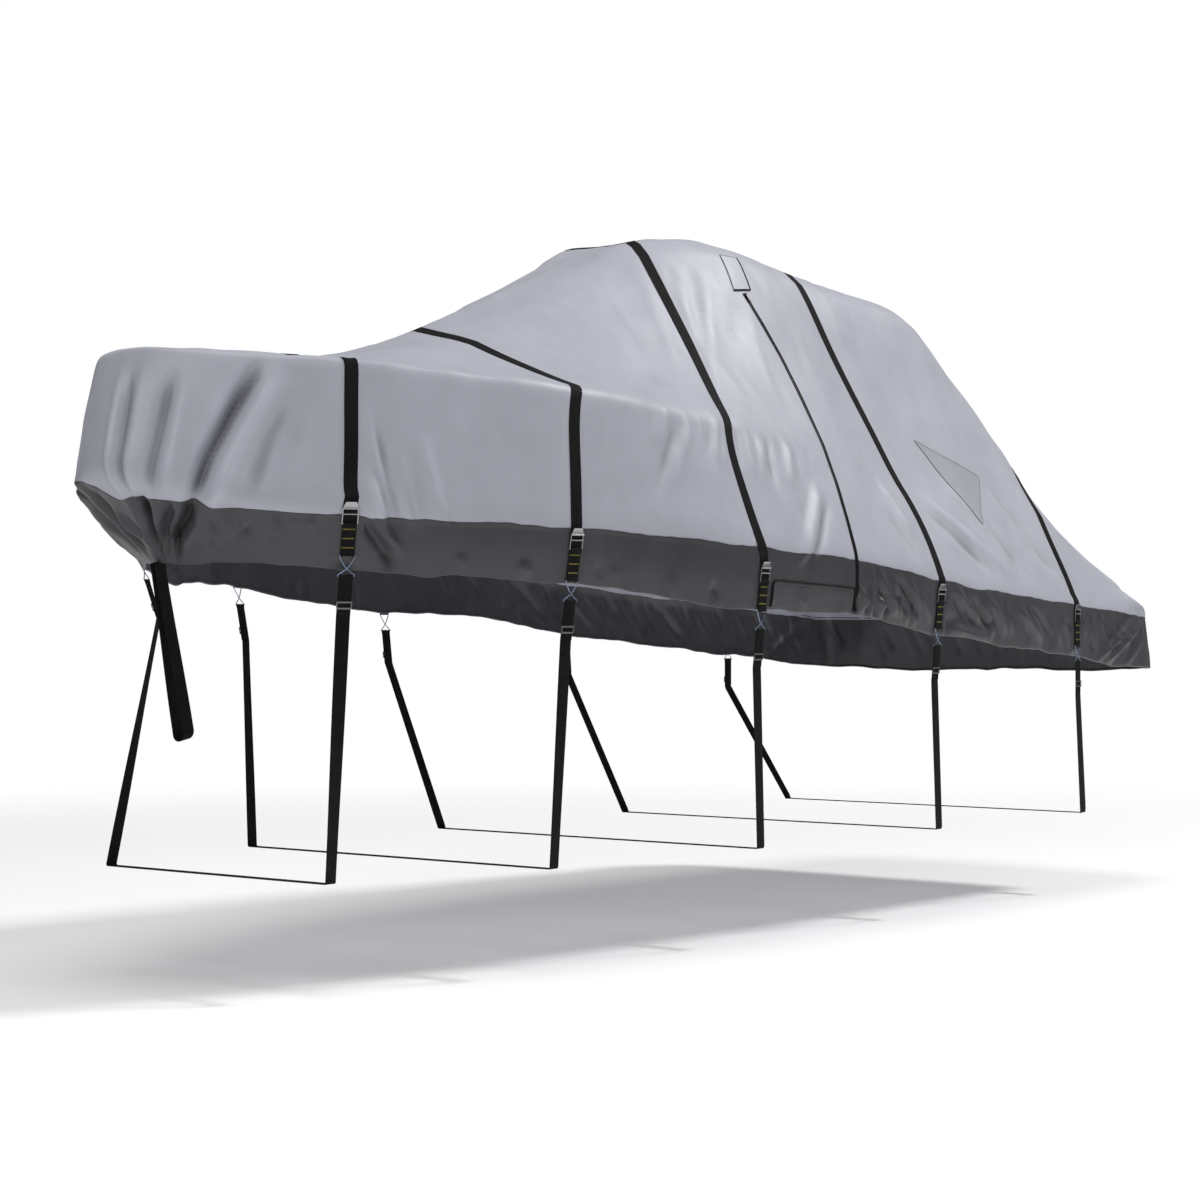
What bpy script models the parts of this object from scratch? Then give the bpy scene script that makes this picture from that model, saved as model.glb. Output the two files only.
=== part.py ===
"""Fitted boat cover for a cabin boat on its trailer, held down by five webbing straps.

Metres, +Z up, +X to the stern, -Y to port.  The origin is just under the top cloth, on the
centreline.  Heights in the tables are above the ground that the trailer stands on.
"""

from collections import namedtuple
from math import cos, pi, radians, sin, sqrt

import bmesh
import bpy
import numpy as np
from mathutils import Vector
from mathutils.bvhtree import BVHTree

# ---------------------------------------------------------------- driving dimensions
TOP_HEIGHT = 3.385          # underside of the top cloth above the ground
CLOTH = 0.0025              # coated cloth with its lining, hems included
GAP = 0.0003                # between pieces that touch
SEAM_GAP = 0.0005           # between canopy and band along their butted seam
APPLIQUE = 0.0012           # patches, flap and zip tape
WEBBING_WIDTH = 0.058
WEBBING = 0.0020
TAB_WEBBING = 0.0018
TRAILER_HEIGHT = 0.455      # underside of the frame that the lower straps pass under
ROW_SPACING = 0.185         # between the cloth's rows along its sides
NOSE_SPACING = 0.064        # the same round the gathered bow

# ---------------------------------------------------------------- the cover's sections
# One row for each section from the nose to the middle of the transom, port side.  Each level
# is (x, half-breadth, height): the ridge, the shoulder of the top, the rail crease, the seam
# of the charcoal band, and the hem.
Section = namedtuple("Section", "ridge shoulder rail seam hem")
LEVELS = len(Section._fields)


def station(x, ridge, shoulder, rail, seam, hem):
    """A section square to the keel: the ridge height, then (half-breadth, height) pairs."""
    return Section((x, 0.0, ridge), *((x, *pair) for pair in (shoulder, rail, seam, hem)))


SECTIONS = (
    Section((-2.95, 0.00, 2.595), (-3.15, 0.00, 2.592), (-3.41, 0.00, 2.575),
            (-3.52, 0.00, 2.060), (-3.22, 0.00, 1.735)),
    Section((-2.93, 0.00, 2.596), (-3.10, 0.12, 2.592), (-3.35, 0.21, 2.570),
            (-3.46, 0.23, 2.000), (-3.18, 0.10, 1.732)),
    Section((-2.88, 0.00, 2.598), (-2.98, 0.22, 2.590), (-3.17, 0.39, 2.562),
            (-3.24, 0.44, 1.962), (-3.08, 0.25, 1.730)),
    station(-2.80, 2.605, (0.30, 2.590), (0.64, 2.552), (0.67, 1.939), (0.55, 1.711)),
    station(-2.40, 2.630, (0.38, 2.605), (0.84, 2.524), (0.87, 1.921), (0.79, 1.681)),
    station(-1.88, 2.755, (0.34, 2.695), (1.03, 2.489), (1.05, 1.903), (1.00, 1.668)),
    station(-1.30, 2.990, (0.28, 2.905), (1.06, 2.456), (1.14, 1.883), (1.10, 1.604)),
    station(-0.70, 3.240, (0.22, 3.205), (1.02, 2.421), (1.20, 1.841), (1.17, 1.562)),
    station(-0.38, 3.380, (0.28, 3.360), (1.00, 2.400), (1.21, 1.825), (1.17, 1.552)),
    station(0.05, 3.405, (0.42, 3.390), (0.98, 2.364), (1.21, 1.801), (1.18, 1.542)),
    station(0.78, 3.310, (0.49, 3.290), (0.95, 2.230), (1.22, 1.721), (1.19, 1.451)),
    station(1.62, 3.215, (0.52, 3.200), (0.90, 2.240), (1.20, 1.650), (1.18, 1.385)),
    station(1.95, 3.000, (0.56, 2.940), (0.92, 2.180), (1.19, 1.628), (1.17, 1.360)),
    station(2.28, 2.670, (0.66, 2.590), (0.95, 2.100), (1.17, 1.605), (1.15, 1.335)),
    station(2.80, 2.110, (0.84, 2.040), (1.02, 1.810), (1.14, 1.575), (1.13, 1.280)),
    station(3.08, 1.790, (1.00, 1.735), (1.08, 1.645), (1.12, 1.560), (1.13, 1.262)),
    Section((3.09, 0.00, 1.775), (3.15, 0.98, 1.700), (3.21, 1.03, 1.630),
            (3.26, 1.07, 1.555), (3.31, 1.08, 1.250)),
    Section((3.10, 0.00, 1.770), (3.19, 0.50, 1.715), (3.26, 0.50, 1.645),
            (3.30, 0.50, 1.550), (3.35, 0.50, 1.245)),
    Section((3.11, 0.00, 1.770), (3.20, 0.00, 1.725), (3.27, 0.00, 1.650),
            (3.31, 0.00, 1.550), (3.36, 0.00, 1.245)),
)
NOSE_ROWS = 4               # sections of the gathered bow, cut into finer rows

# How much of each side of a level's corner is rounded, and how far cloth between two levels
# hangs in (-) or stands out (+).
ROUNDING = (0.0, 0.30, 0.10, 0.14, 0.0)
FULLNESS = (0.0, -0.020, 0.012, 0.006)
COLUMNS = (0.0, 0.5, 0.7, 1.0, 1.3, 1.6, 1.9, 2.0, 2.1, 2.35, 2.6, 2.86, 3.0,
           3.14, 3.5, 3.78, 4.0)
SEAM_COLUMN = COLUMNS.index(3.0)

# Folds run down the cloth.  Each starts and ends at (metres round the seam from the nose,
# level), with the half-width and the depth of its trough (-) or crest (+).
Fold = namedtuple("Fold", "side start end width depth")
PORT, STARBOARD = -1, 1
FOLDS = (
    Fold(PORT, (0.67, 2.12), (0.24, 3.90), 0.045, -0.034),
    Fold(PORT, (0.76, 2.12), (0.32, 3.70), 0.050, 0.016),
    Fold(PORT, (0.29, 2.12), (0.22, 2.95), 0.035, -0.020),
    Fold(PORT, (0.06, 2.08), (0.11, 3.00), 0.030, -0.016),
    Fold(PORT, (0.16, 3.00), (0.08, 4.00), 0.035, -0.022),
    Fold(PORT, (0.31, 2.95), (0.16, 4.00), 0.035, -0.024),
    Fold(PORT, (1.11, 2.85), (1.36, 3.80), 0.040, 0.016),
    Fold(PORT, (1.22, 2.95), (1.42, 3.90), 0.035, -0.014),
    Fold(PORT, (2.87, 2.05), (2.68, 2.65), 0.050, 0.010),
    Fold(PORT, (3.36, 1.95), (2.98, 2.90), 0.050, 0.012),
    Fold(PORT, (3.80, 2.05), (3.48, 2.80), 0.060, -0.012),
    Fold(PORT, (4.38, 3.05), (4.72, 4.00), 0.060, -0.016),
    Fold(PORT, (4.84, 3.05), (5.36, 4.00), 0.060, 0.016),
    Fold(PORT, (5.42, 3.02), (5.98, 3.95), 0.070, -0.014),
    Fold(PORT, (7.04, 3.02), (6.62, 4.00), 0.060, 0.020),
    Fold(STARBOARD, (0.58, 2.12), (0.22, 3.90), 0.045, -0.030),
    Fold(STARBOARD, (0.28, 2.12), (0.20, 2.95), 0.035, -0.018),
    Fold(STARBOARD, (0.20, 3.00), (0.10, 4.00), 0.035, -0.020),
    Fold(STARBOARD, (1.30, 2.90), (1.46, 3.85), 0.040, -0.014),
    Fold(STARBOARD, (3.10, 2.00), (2.86, 2.85), 0.055, 0.012),
    Fold(STARBOARD, (4.60, 3.05), (4.95, 4.00), 0.060, -0.015),
    Fold(STARBOARD, (5.55, 3.02), (6.05, 4.00), 0.065, 0.015),
    Fold(STARBOARD, (7.02, 3.02), (6.60, 4.00), 0.060, 0.018),
)

# ---------------------------------------------------------------- straps, sewn pieces
# Each strap over the top: where it crosses the seam, how far aft it lies on the centreline,
# the top of its buckle above the ground, and the trailer point that it goes down to.
Strap = namedtuple("Strap", "x slant buckle_z foot_x foot_b")
STRAPS = (
    Strap(-2.80, 0.00, 1.975, -2.90, 0.66),
    Strap(-1.85, 0.18, 1.888, -1.84, 0.92),
    Strap(-0.69, 0.36, 1.772, -0.45, 1.00),
    Strap(0.79, -0.14, 1.698, 1.09, 1.02),
    Strap(2.28, 0.00, 1.612, 2.66, 1.00),
)
SLANT_REACH = 0.98          # half-breadth at which the slant has run out
BAND_JOINTS = (-1.88, 2.28)  # where the charcoal band's lengths are joined, under straps
FRAME_WIDTH = 0.068         # cam buckle
FRAME_HEIGHT = 0.066
PLATE_HEIGHT = 0.028        # its thumb plate, a trapezoid
PLATE_TOP = 0.044
PLATE = 0.004
BUCKLE_LIFT = WEBBING + 2.4 * GAP
BAR = 0.007                 # buckle's cross bars
RAIL = 0.0045               # buckle's side rails
BAR_RISE = 0.040            # its middle bar above the bottom
TAB_LENGTH = 0.128          # stitched tab between buckle and hook
TAB_GRIP = 0.0052           # radius of the tab's webbing round the buckle's bar
SEAT_REACH = 0.190          # length of cloth that buckle and tab lie on
HOOK_LENGTH = 0.086
HOOK_WIRE = 0.0022          # radius
HOOK_CROSSING = 0.62        # of its length, from the top
HOOK_SIDES = 6              # of the wire's section
SLIDER_DROP = 0.105         # below the hook
SLIDER_HEIGHT = 0.034
SLIDER_BAR = 0.008
SLIDER_WALL = 0.003
STRAP_TAIL = 0.030          # double layer below the slider
STRAP_CORNER = 0.008        # radius round the edge of the trailer's frame
ZIP_WIDTH = 0.024
# The zip as (height, x) from its upper end down past the hem.
ZIP_LINE = ((3.116, 0.048), (2.77, 0.140), (2.40, 0.118), (2.08, 0.065), (1.79, 0.042),
            (1.50, 0.064))
# Sewn pieces on the port side as outlines of (x, height), seen from abeam.
FLAP_OUTLINE = ((0.015, 3.314), (0.135, 3.310), (0.112, 3.142), (-0.018, 3.128))
PATCH_OUTLINE = ((-0.625, 1.500), (-0.625, 1.660), (-0.600, 1.690), (0.010, 1.664),
                 (0.028, 1.645), (0.035, 1.500))
GUSSET_OUTLINE = ((1.18, 2.458), (1.74, 2.288), (1.51, 2.018))
# The middle of the bow strap's lower bend as (x, height), and half the loop's width at each end.
BOW_LOW = (-3.082, 1.045)
BOW_HALF_TOP = 0.012
BOW_HALF_LOW = 0.032


# ---------------------------------------------------------------- the cloth's surface
def mirrored(section):
    """The same section on the other side."""
    return Section(*((x, -b, z) for x, b, z in section))


def closed_rows(sections):
    """Sections right round the cover: nose, port side, transom, starboard side."""
    port = [mirrored(s) for s in sections]
    return port + [sections[i] for i in range(len(sections) - 2, 0, -1)]


def spline(before, start, end, after, knots, t):
    """Point at t of a smooth curve from start to end, eased into its neighbours."""
    k0, k1, k2, k3 = knots
    tangent_start = (end - before) / (k2 - k0)
    tangent_end = (after - start) / (k3 - k1)
    step = k2 - k1
    a, b = 2 * t**3 - 3 * t**2 + 1, t**3 - 2 * t**2 + t
    c, d = -2 * t**3 + 3 * t**2, t**3 - t**2
    return a * start + b * step * tangent_start + c * end + d * step * tangent_end


def control_rows():
    """Finer rows of the five level points, by a closed smooth curve through the sections."""
    rows = np.array(closed_rows(SECTIONS), float)
    count = len(rows)
    steps = np.linalg.norm(np.roll(rows, -1, 0) - rows, axis=2)[:, 1:].max(1)
    result = []
    for i in range(count):
        ids = [(i - 1) % count, i, (i + 1) % count, (i + 2) % count]
        knots = np.cumsum([0.0, steps[ids[0]], steps[i], steps[ids[2]]])
        near_nose = min(i, count - 1 - i) < NOSE_ROWS - 1
        pieces = max(1, round(steps[i] / (NOSE_SPACING if near_nose else ROW_SPACING)))
        for k in range(pieces):
            result.append(spline(*rows[ids], knots, k / pieces))
    return np.array(result)


def section_point(levels, column):
    """Point of one section at a column, with its corners rounded and its spans hung."""
    nearest = int(round(column))
    radius = ROUNDING[nearest]
    if 0 < nearest < LEVELS - 1 and abs(column - nearest) < radius:
        corner = levels[nearest]
        before = corner + (levels[nearest - 1] - corner) * radius
        after = corner + (levels[nearest + 1] - corner) * radius
        t = (column - nearest + radius) / (2 * radius)
        return (1 - t)**2 * before + 2 * t * (1 - t) * corner + t * t * after
    span = min(int(column), LEVELS - 2)
    t = column - span
    return levels[span] * (1 - t) + levels[span + 1] * t


def smooth(t):
    """0 to 1 with level ends."""
    t = np.clip(t, 0.0, 1.0)
    return t * t * (3 - 2 * t)


def cloth_points():
    """The outer face of the whole cloth: points[row][column]."""
    controls = control_rows()
    controls[:, :, 2] -= TOP_HEIGHT
    points = np.array([[section_point(row, c) for c in COLUMNS] for row in controls])
    seam = points[:, SEAM_COLUMN]
    half = len(seam) // 2
    steps = np.linalg.norm(np.diff(seam[:half + 1], axis=0), axis=1)
    along = np.concatenate([[0.0], np.cumsum(steps)])
    along = np.concatenate([along, along[half - 1:0:-1]])
    side = np.where(np.arange(len(seam)) <= half, PORT, STARBOARD)
    normals = sheet_normals(points)
    for j, column in enumerate(COLUMNS):
        span = min(int(column), LEVELS - 2)
        hang = FULLNESS[span] * sin(pi * (column - span))
        push = np.full(len(points), hang)
        for fold in FOLDS:
            (a0, c0), (a1, c1) = fold.start, fold.end
            t = (column - c0) / (c1 - c0)
            fade = smooth(4 * t + 0.6) * smooth(4 * (1 - t) + 0.6)
            across = (along - (a0 + (a1 - a0) * t)) / fold.width
            push += np.where(side == fold.side, fold.depth * fade * np.exp(-across**2), 0.0)
        points[:, j] += normals[:, j] * push[:, None]
    return points


def sheet_index(rows, columns):
    """Vertex numbers of the sheet, whose two sides share the points of the ridge."""
    spine = rows // 2 + 1
    index = np.zeros((rows, columns), int)
    for i in range(rows):
        index[i, 0] = min(i, rows - i)
        index[i, 1:] = spine + i * (columns - 1) + np.arange(columns - 1)
    return index


def sheet_faces(index, closed=True):
    """Triangles between neighbouring rows and columns, normals out."""
    rows, columns = index.shape
    faces = []
    for i in range(rows if closed else rows - 1):
        k = (i + 1) % rows
        for j in range(columns - 1):
            a, b, c, d = index[i, j], index[i, j + 1], index[k, j + 1], index[k, j]
            faces += [(a, b, c), (a, c, d)]
    return faces


def sheet_mesh(points):
    """A bmesh of the sheet, one layer."""
    index = sheet_index(*points.shape[:2])
    flat = np.zeros((index.max() + 1, 3))
    flat[index] = points
    sheet = bmesh.new()
    verts = [sheet.verts.new(p) for p in flat]
    for face in sheet_faces(index):
        sheet.faces.new([verts[k] for k in face])
    sheet.normal_update()
    return sheet, index


def sheet_normals(points):
    """Outward unit normals of the sheet at its points."""
    sheet, index = sheet_mesh(points)
    sheet.verts.ensure_lookup_table()
    normals = np.array([v.normal for v in sheet.verts])
    sheet.free()
    return normals[index]


# ---------------------------------------------------------------- objects
MATERIALS = {
    # name: (colour, roughness, metallic)
    "canopy_cloth": ((0.46, 0.47, 0.53), 0.60, 0.0),
    "band_cloth": ((0.060, 0.055, 0.062), 0.62, 0.0),
    "webbing": ((0.012, 0.012, 0.012), 0.80, 0.0),
    "buckle_metal": ((0.62, 0.62, 0.63), 0.32, 1.0),
    "hook_wire": ((0.26, 0.33, 0.46), 0.30, 1.0),
    "slider_metal": ((0.18, 0.18, 0.19), 0.40, 1.0),
    "zip_tape": ((0.010, 0.010, 0.011), 0.70, 0.0),
}


def material(name):
    """The material of that name, made once."""
    if name in bpy.data.materials:
        return bpy.data.materials[name]
    colour, roughness, metallic = MATERIALS[name]
    made = bpy.data.materials.new(name)
    made.use_nodes = True
    shader = made.node_tree.nodes["Principled BSDF"]
    shader.inputs["Base Color"].default_value = (*colour, 1.0)
    shader.inputs["Roughness"].default_value = roughness
    shader.inputs["Metallic"].default_value = metallic
    return made


def add_object(name, mesh, slot):
    """A named object of a bmesh or a mesh, shaded smooth between its sharp edges."""
    if isinstance(mesh, bmesh.types.BMesh):
        made = bpy.data.meshes.new(name)
        bmesh.ops.recalc_face_normals(mesh, faces=mesh.faces)
        mesh.to_mesh(made)
        mesh.free()
    else:
        made = mesh
    made.materials.append(material(slot))
    made.shade_smooth()
    made.set_sharp_from_angle(angle=radians(35))
    piece = bpy.data.objects.new(name, made)
    bpy.context.collection.objects.link(piece)
    return piece


def thick_sheet(outer_points, inner_points, index, closed=True):
    """A closed solid between two layers of one grid, with rims along its free edges."""
    layers = []
    solid = bmesh.new()
    count = index.max() + 1
    for points in (outer_points, inner_points):
        flat = np.zeros((count, 3))
        flat[index] = points
        layers.append([solid.verts.new(p) for p in flat])
    outer, inner = layers
    faces = sheet_faces(index, closed)
    edges = {(face[k], face[k - 2]) for face in faces for k in range(3)}
    for face in faces:
        solid.faces.new([outer[k] for k in face])
        solid.faces.new([inner[k] for k in reversed(face)])
    for a, b in sorted(edges):
        if (b, a) in edges:
            continue
        # Both solids at a seam split their rims from the same end, the one nearer the bow.
        first, last = sorted((a, b), key=lambda k: (outer[k].co.x, outer[k].co.y))
        solid.faces.new([outer[first], inner[first], inner[last]])
        solid.faces.new([outer[first], inner[last], outer[last]])
    bmesh.ops.recalc_face_normals(solid, faces=solid.faces)
    return solid


def band_lengths(points):
    """Row numbers of each length that the charcoal band is sewn from."""
    rows = len(points)
    along = points[:rows // 2, SEAM_COLUMN, 0]
    fore, aft = (int(np.abs(along - x).argmin()) for x in BAND_JOINTS)
    return {
        "bow": range(-fore, fore + 1),
        "port": range(fore, aft + 1),
        "stern": range(aft, rows - aft + 1),
        "starboard": range(rows - aft, rows - fore + 1),
    }


def moved_edge(layers, edge, inward):
    """Move one edge of each layer towards the next points, by the gap at a seam."""
    step = layers[0][inward] - layers[0][edge]
    step *= SEAM_GAP / np.linalg.norm(step, axis=1)[:, None]
    for layer in layers:
        layer[edge] += step


def add_cloth(points, normals):
    """The light canopy, and the charcoal band in its lengths, butted along the seams."""
    inner = points - normals * CLOTH
    rows = len(points)
    top = slice(0, SEAM_COLUMN + 1)
    add_object("canopy", thick_sheet(points[:, top], inner[:, top],
                                     sheet_index(rows, SEAM_COLUMN + 1)), "canopy_cloth")
    everything = slice(None)
    for name, numbers in band_lengths(points).items():
        picked = [i % rows for i in numbers]
        layers = [layer[picked, SEAM_COLUMN:].copy() for layer in (points, inner)]
        moved_edge(layers, (everything, 0), (everything, 1))
        moved_edge(layers, (0, everything), (1, everything))
        index = np.arange(layers[0][..., 0].size).reshape(layers[0].shape[:2])
        add_object(f"skirt_band_{name}", thick_sheet(*layers, index, closed=False),
                   "band_cloth")


def cut_sheet(sheet, planes):
    """Keep what lies behind every plane, each a (point, outward normal)."""
    for point, normal in planes:
        geometry = sheet.verts[:] + sheet.edges[:] + sheet.faces[:]
        bmesh.ops.bisect_plane(sheet, geom=geometry, dist=1e-6, plane_co=point,
                               plane_no=normal, clear_outer=True)


def thicken(sheet, lift, thickness):
    """Turn a cut sheet into a closed solid that lies at that lift over the cloth."""
    sheet.normal_update()
    faces = sheet.faces[:]
    boundary = [e for e in sheet.edges if e.is_boundary]
    low, high = {}, {}
    for vert in sheet.verts[:]:
        low[vert] = sheet.verts.new(vert.co + vert.normal * lift)
        high[vert] = sheet.verts.new(vert.co + vert.normal * (lift + thickness))
    for face in faces:
        sheet.faces.new([high[v] for v in face.verts])
        sheet.faces.new([low[v] for v in reversed(face.verts)])
    for edge in boundary:
        a, b = edge.verts
        sheet.faces.new([low[a], low[b], high[b], high[a]])
    bmesh.ops.delete(sheet, geom=list(low), context="VERTS")
    bmesh.ops.recalc_face_normals(sheet, faces=sheet.faces)
    return sheet


def half_sheet(points, side):
    """The cloth's outer face on one side of the keel."""
    sheet, _ = sheet_mesh(points)
    cut_sheet(sheet, [((0, 0, 0), (0, -side, 0))])
    return sheet


def cut_strip(sheet, knots, level, planes):
    """Keep the strip between planes across x, round a centre line of (level, x) knots."""
    def centre(co):
        return float(np.interp(level(co), *zip(*sorted(knots))))

    for vert in sheet.verts:
        vert.co.x -= centre(vert.co)
    cut_sheet(sheet, planes)
    for vert in sheet.verts:
        vert.co.x += centre(vert.co)


def split_sheet(sheet, point, normal):
    """New edges where a plane crosses the sheet."""
    geometry = sheet.verts[:] + sheet.edges[:] + sheet.faces[:]
    bmesh.ops.bisect_plane(sheet, geom=geometry, dist=1e-6, plane_co=point, plane_no=normal)


def add_top_straps(points):
    """Webbing over the cover from buckle to buckle, lying on the cloth's own facets."""
    for number, strap in enumerate(STRAPS, 1):
        sheet, _ = sheet_mesh(points)
        for side in (PORT, STARBOARD):
            split_sheet(sheet, (0, side * SLANT_REACH, 0), (0, 1, 0))
        end_z = strap.buckle_z - PLATE_HEIGHT - FRAME_HEIGHT + 2.2 * BAR - TOP_HEIGHT
        cut_strip(sheet, ((0.0, strap.x + strap.slant), (SLANT_REACH, strap.x)),
                  lambda co: abs(co.y),
                  [((WEBBING_WIDTH / 2, 0, 0), (1, 0, 0)),
                   ((-WEBBING_WIDTH / 2, 0, 0), (-1, 0, 0)),
                   ((0, 0, end_z), (0, 0, -1))])
        thicken(sheet, GAP, WEBBING)
        add_object(f"top_strap_{number}", sheet, "webbing")


def add_zip(points):
    """The zip's tape, with the wedge that covers its upper end."""
    sheet = half_sheet(points, PORT)
    knots = [(z - TOP_HEIGHT, x) for z, x in ZIP_LINE]
    for z, _ in knots:
        split_sheet(sheet, (0, 0, z), (0, 0, 1))
    wide = ZIP_WIDTH / 2
    cut_strip(sheet, knots, lambda co: co.z,
              [((wide, 0, 0), (1, 0, 0)), ((-wide, 0, 0), (-1, 0, 0)),
               ((0, 0, knots[0][0]), (0, 0, 1))])
    thicken(sheet, GAP, APPLIQUE)
    add_object("zip", sheet, "zip_tape")


def add_applique(points, name, outline, slot):
    """A piece sewn on the port side, by its convex outline of (x, height) seen from abeam."""
    sheet = half_sheet(points, PORT)
    corners = [Vector((x, 0, z - TOP_HEIGHT)) for x, z in outline]
    middle = sum(corners, Vector()) / len(corners)
    planes = []
    for a, b in zip(corners, corners[1:] + corners[:1]):
        normal = (b - a).cross(Vector((0, 1, 0)))
        if normal.dot(middle - a) > 0:
            normal.negate()
        planes.append((a, normal.normalized()))
    cut_sheet(sheet, planes)
    thicken(sheet, GAP, APPLIQUE)
    add_object(name, sheet, slot)


def add_appliques(points):
    """The zip, the flap over its upper end, the plain patch and the triangular patch."""
    add_zip(points)
    add_applique(points, "zip_flap", FLAP_OUTLINE, "canopy_cloth")
    add_applique(points, "band_patch", PATCH_OUTLINE, "band_cloth")
    add_applique(points, "corner_patch", GUSSET_OUTLINE, "canopy_cloth")


# ---------------------------------------------------------------- straps' hardware
class Seat:
    """A flat place on the cloth for a buckle and its tab: t along, u up, n out."""

    def __init__(self, tree, strap, side):
        self.side = side
        top = strap.buckle_z - TOP_HEIGHT
        low = top - SEAT_REACH
        high_point = touch(tree, strap.x, top, side)
        low_point = touch(tree, strap.x, low, side)
        ahead = touch(tree, strap.x + 0.05, (top + low) / 2, side)
        behind = touch(tree, strap.x - 0.05, (top + low) / 2, side)
        self.t = (ahead - behind).normalized()
        self.t.z = 0.0
        self.t.normalize()
        up = high_point - low_point
        self.u = (up - self.t * up.dot(self.t)).normalized()
        self.n = self.t.cross(self.u).normalized()
        if self.n.y * side < 0:
            self.n.negate()
        self.origin = high_point.copy()
        length = up.length
        reach = [0.0]
        for i in range(31):
            for k in range(-4, 5):
                start = self.at(k / 4 * FRAME_WIDTH / 2, 0.004 - length * i / 28, 0.2)
                hit = tree.ray_cast(start, -self.n, 0.4)[0]
                if hit:
                    reach.append((hit - self.origin).dot(self.n))
        self.origin += self.n * (max(reach) + GAP)

    def at(self, t, u, n):
        """World point of local coordinates."""
        return self.origin + self.t * t + self.u * u + self.n * n


def touch(tree, x, z, side):
    """Point of the cloth at x and z on one side."""
    hit = tree.ray_cast(Vector((x, 3.0 * side, z)), Vector((0, -side, 0)), 6.0)[0]
    if hit is None:
        raise ValueError(f"no cloth at x {x:.3f}, z {z:.3f}")
    return hit


def ribbon(path, widths, thickness, closed=False):
    """Flat webbing along a path, its width direction given at each point."""
    path = [Vector(p) for p in path]
    count = len(path)
    solid = bmesh.new()
    rings = []
    for i, point in enumerate(path):
        before = path[i - 1] if closed or i else point
        after = path[(i + 1) % count] if closed or i < count - 1 else point
        back, ahead = point - before, after - point
        tangent = (back.normalized() + ahead.normalized()).normalized()
        across = widths[i].normalized()
        normal = tangent.cross(across).normalized()
        turn = max(0.5, sqrt(max(0.0, (1 + back.normalized().dot(ahead.normalized())) / 2)))
        if not back.length or not ahead.length:
            turn = 1.0
        half, rise = across * WEBBING_WIDTH / 2, normal * thickness / 2 / turn
        rings.append([solid.verts.new(point + a + b) for a, b in
                      ((-half, -rise), (half, -rise), (half, rise), (-half, rise))])
    for i in range(count if closed else count - 1):
        ring, after = rings[i], rings[(i + 1) % count]
        for k in range(4):
            m = (k + 1) % 4
            a, b, c, d = ring[k], ring[m], after[m], after[k]
            if k == 2:          # the same diagonal as the back, so a twist keeps its thickness
                a, b, c, d = b, c, d, a
            solid.faces.new([a, b, c])
            solid.faces.new([a, c, d])
    if not closed:
        solid.faces.new(rings[0][::-1])
        solid.faces.new(rings[-1])
    return solid


def plate(outline, windows, seat, low, high):
    """A flat metal plate with windows, outline and windows as (t, u) loops."""
    def block(name, loop, bottom, top):
        mesh = bmesh.new()
        face = mesh.faces.new([mesh.verts.new((a, b, bottom)) for a, b in loop])
        grown = bmesh.ops.extrude_face_region(mesh, geom=[face])
        moved = [g for g in grown["geom"] if isinstance(g, bmesh.types.BMVert)]
        bmesh.ops.translate(mesh, verts=moved, vec=(0, 0, top - bottom))
        bmesh.ops.recalc_face_normals(mesh, faces=mesh.faces)
        data = bpy.data.meshes.new(name)
        mesh.to_mesh(data)
        mesh.free()
        made = bpy.data.objects.new(name, data)
        bpy.context.collection.objects.link(made)
        return made

    base = block("plate_base", outline, low, high)
    cutters = []
    for loop in windows:
        cutter = block("plate_cutter", loop, low - 0.01, high + 0.01)
        cut = base.modifiers.new("window", "BOOLEAN")
        cut.operation = "DIFFERENCE"
        cut.object = cutter
        cutters.append(cutter)
    depsgraph = bpy.context.evaluated_depsgraph_get()
    mesh = bpy.data.meshes.new_from_object(base.evaluated_get(depsgraph))
    for made in [base] + cutters:
        bpy.data.objects.remove(made)
    for vert in mesh.vertices:
        vert.co = seat.at(*vert.co)
    mesh.update()
    solid = bmesh.new()
    solid.from_mesh(mesh)
    return solid


def rectangle(width, low, high):
    """A loop of (t, u) corners."""
    half = width / 2
    return [(-half, low), (half, low), (half, high), (-half, high)]


def add_buckle(name, seat):
    """Cam buckle: a frame of three bars with its trapezoid thumb plate above."""
    low = BUCKLE_LIFT
    foot = -PLATE_HEIGHT - FRAME_HEIGHT
    half, top = FRAME_WIDTH / 2, PLATE_TOP / 2
    outline = [(-half, foot), (half, foot), (half, -PLATE_HEIGHT), (top, 0.0), (-top, 0.0),
               (-half, -PLATE_HEIGHT)]
    window_width = FRAME_WIDTH - 2 * RAIL
    middle = foot + BAR_RISE
    windows = [rectangle(window_width, foot + BAR, middle),
               rectangle(window_width, middle + BAR, -PLATE_HEIGHT - 0.003)]
    add_object(name, plate(outline, windows, seat, low, low + PLATE), "buckle_metal")


def loop_points(centre_u, centre_n, radius, start, stop, steps):
    """Points of an arc in the (u, n) plane, angles in degrees from +u towards +n."""
    return [(centre_u + radius * cos(radians(start + (stop - start) * k / steps)),
             centre_n + radius * sin(radians(start + (stop - start) * k / steps)))
            for k in range(steps + 1)]


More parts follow.
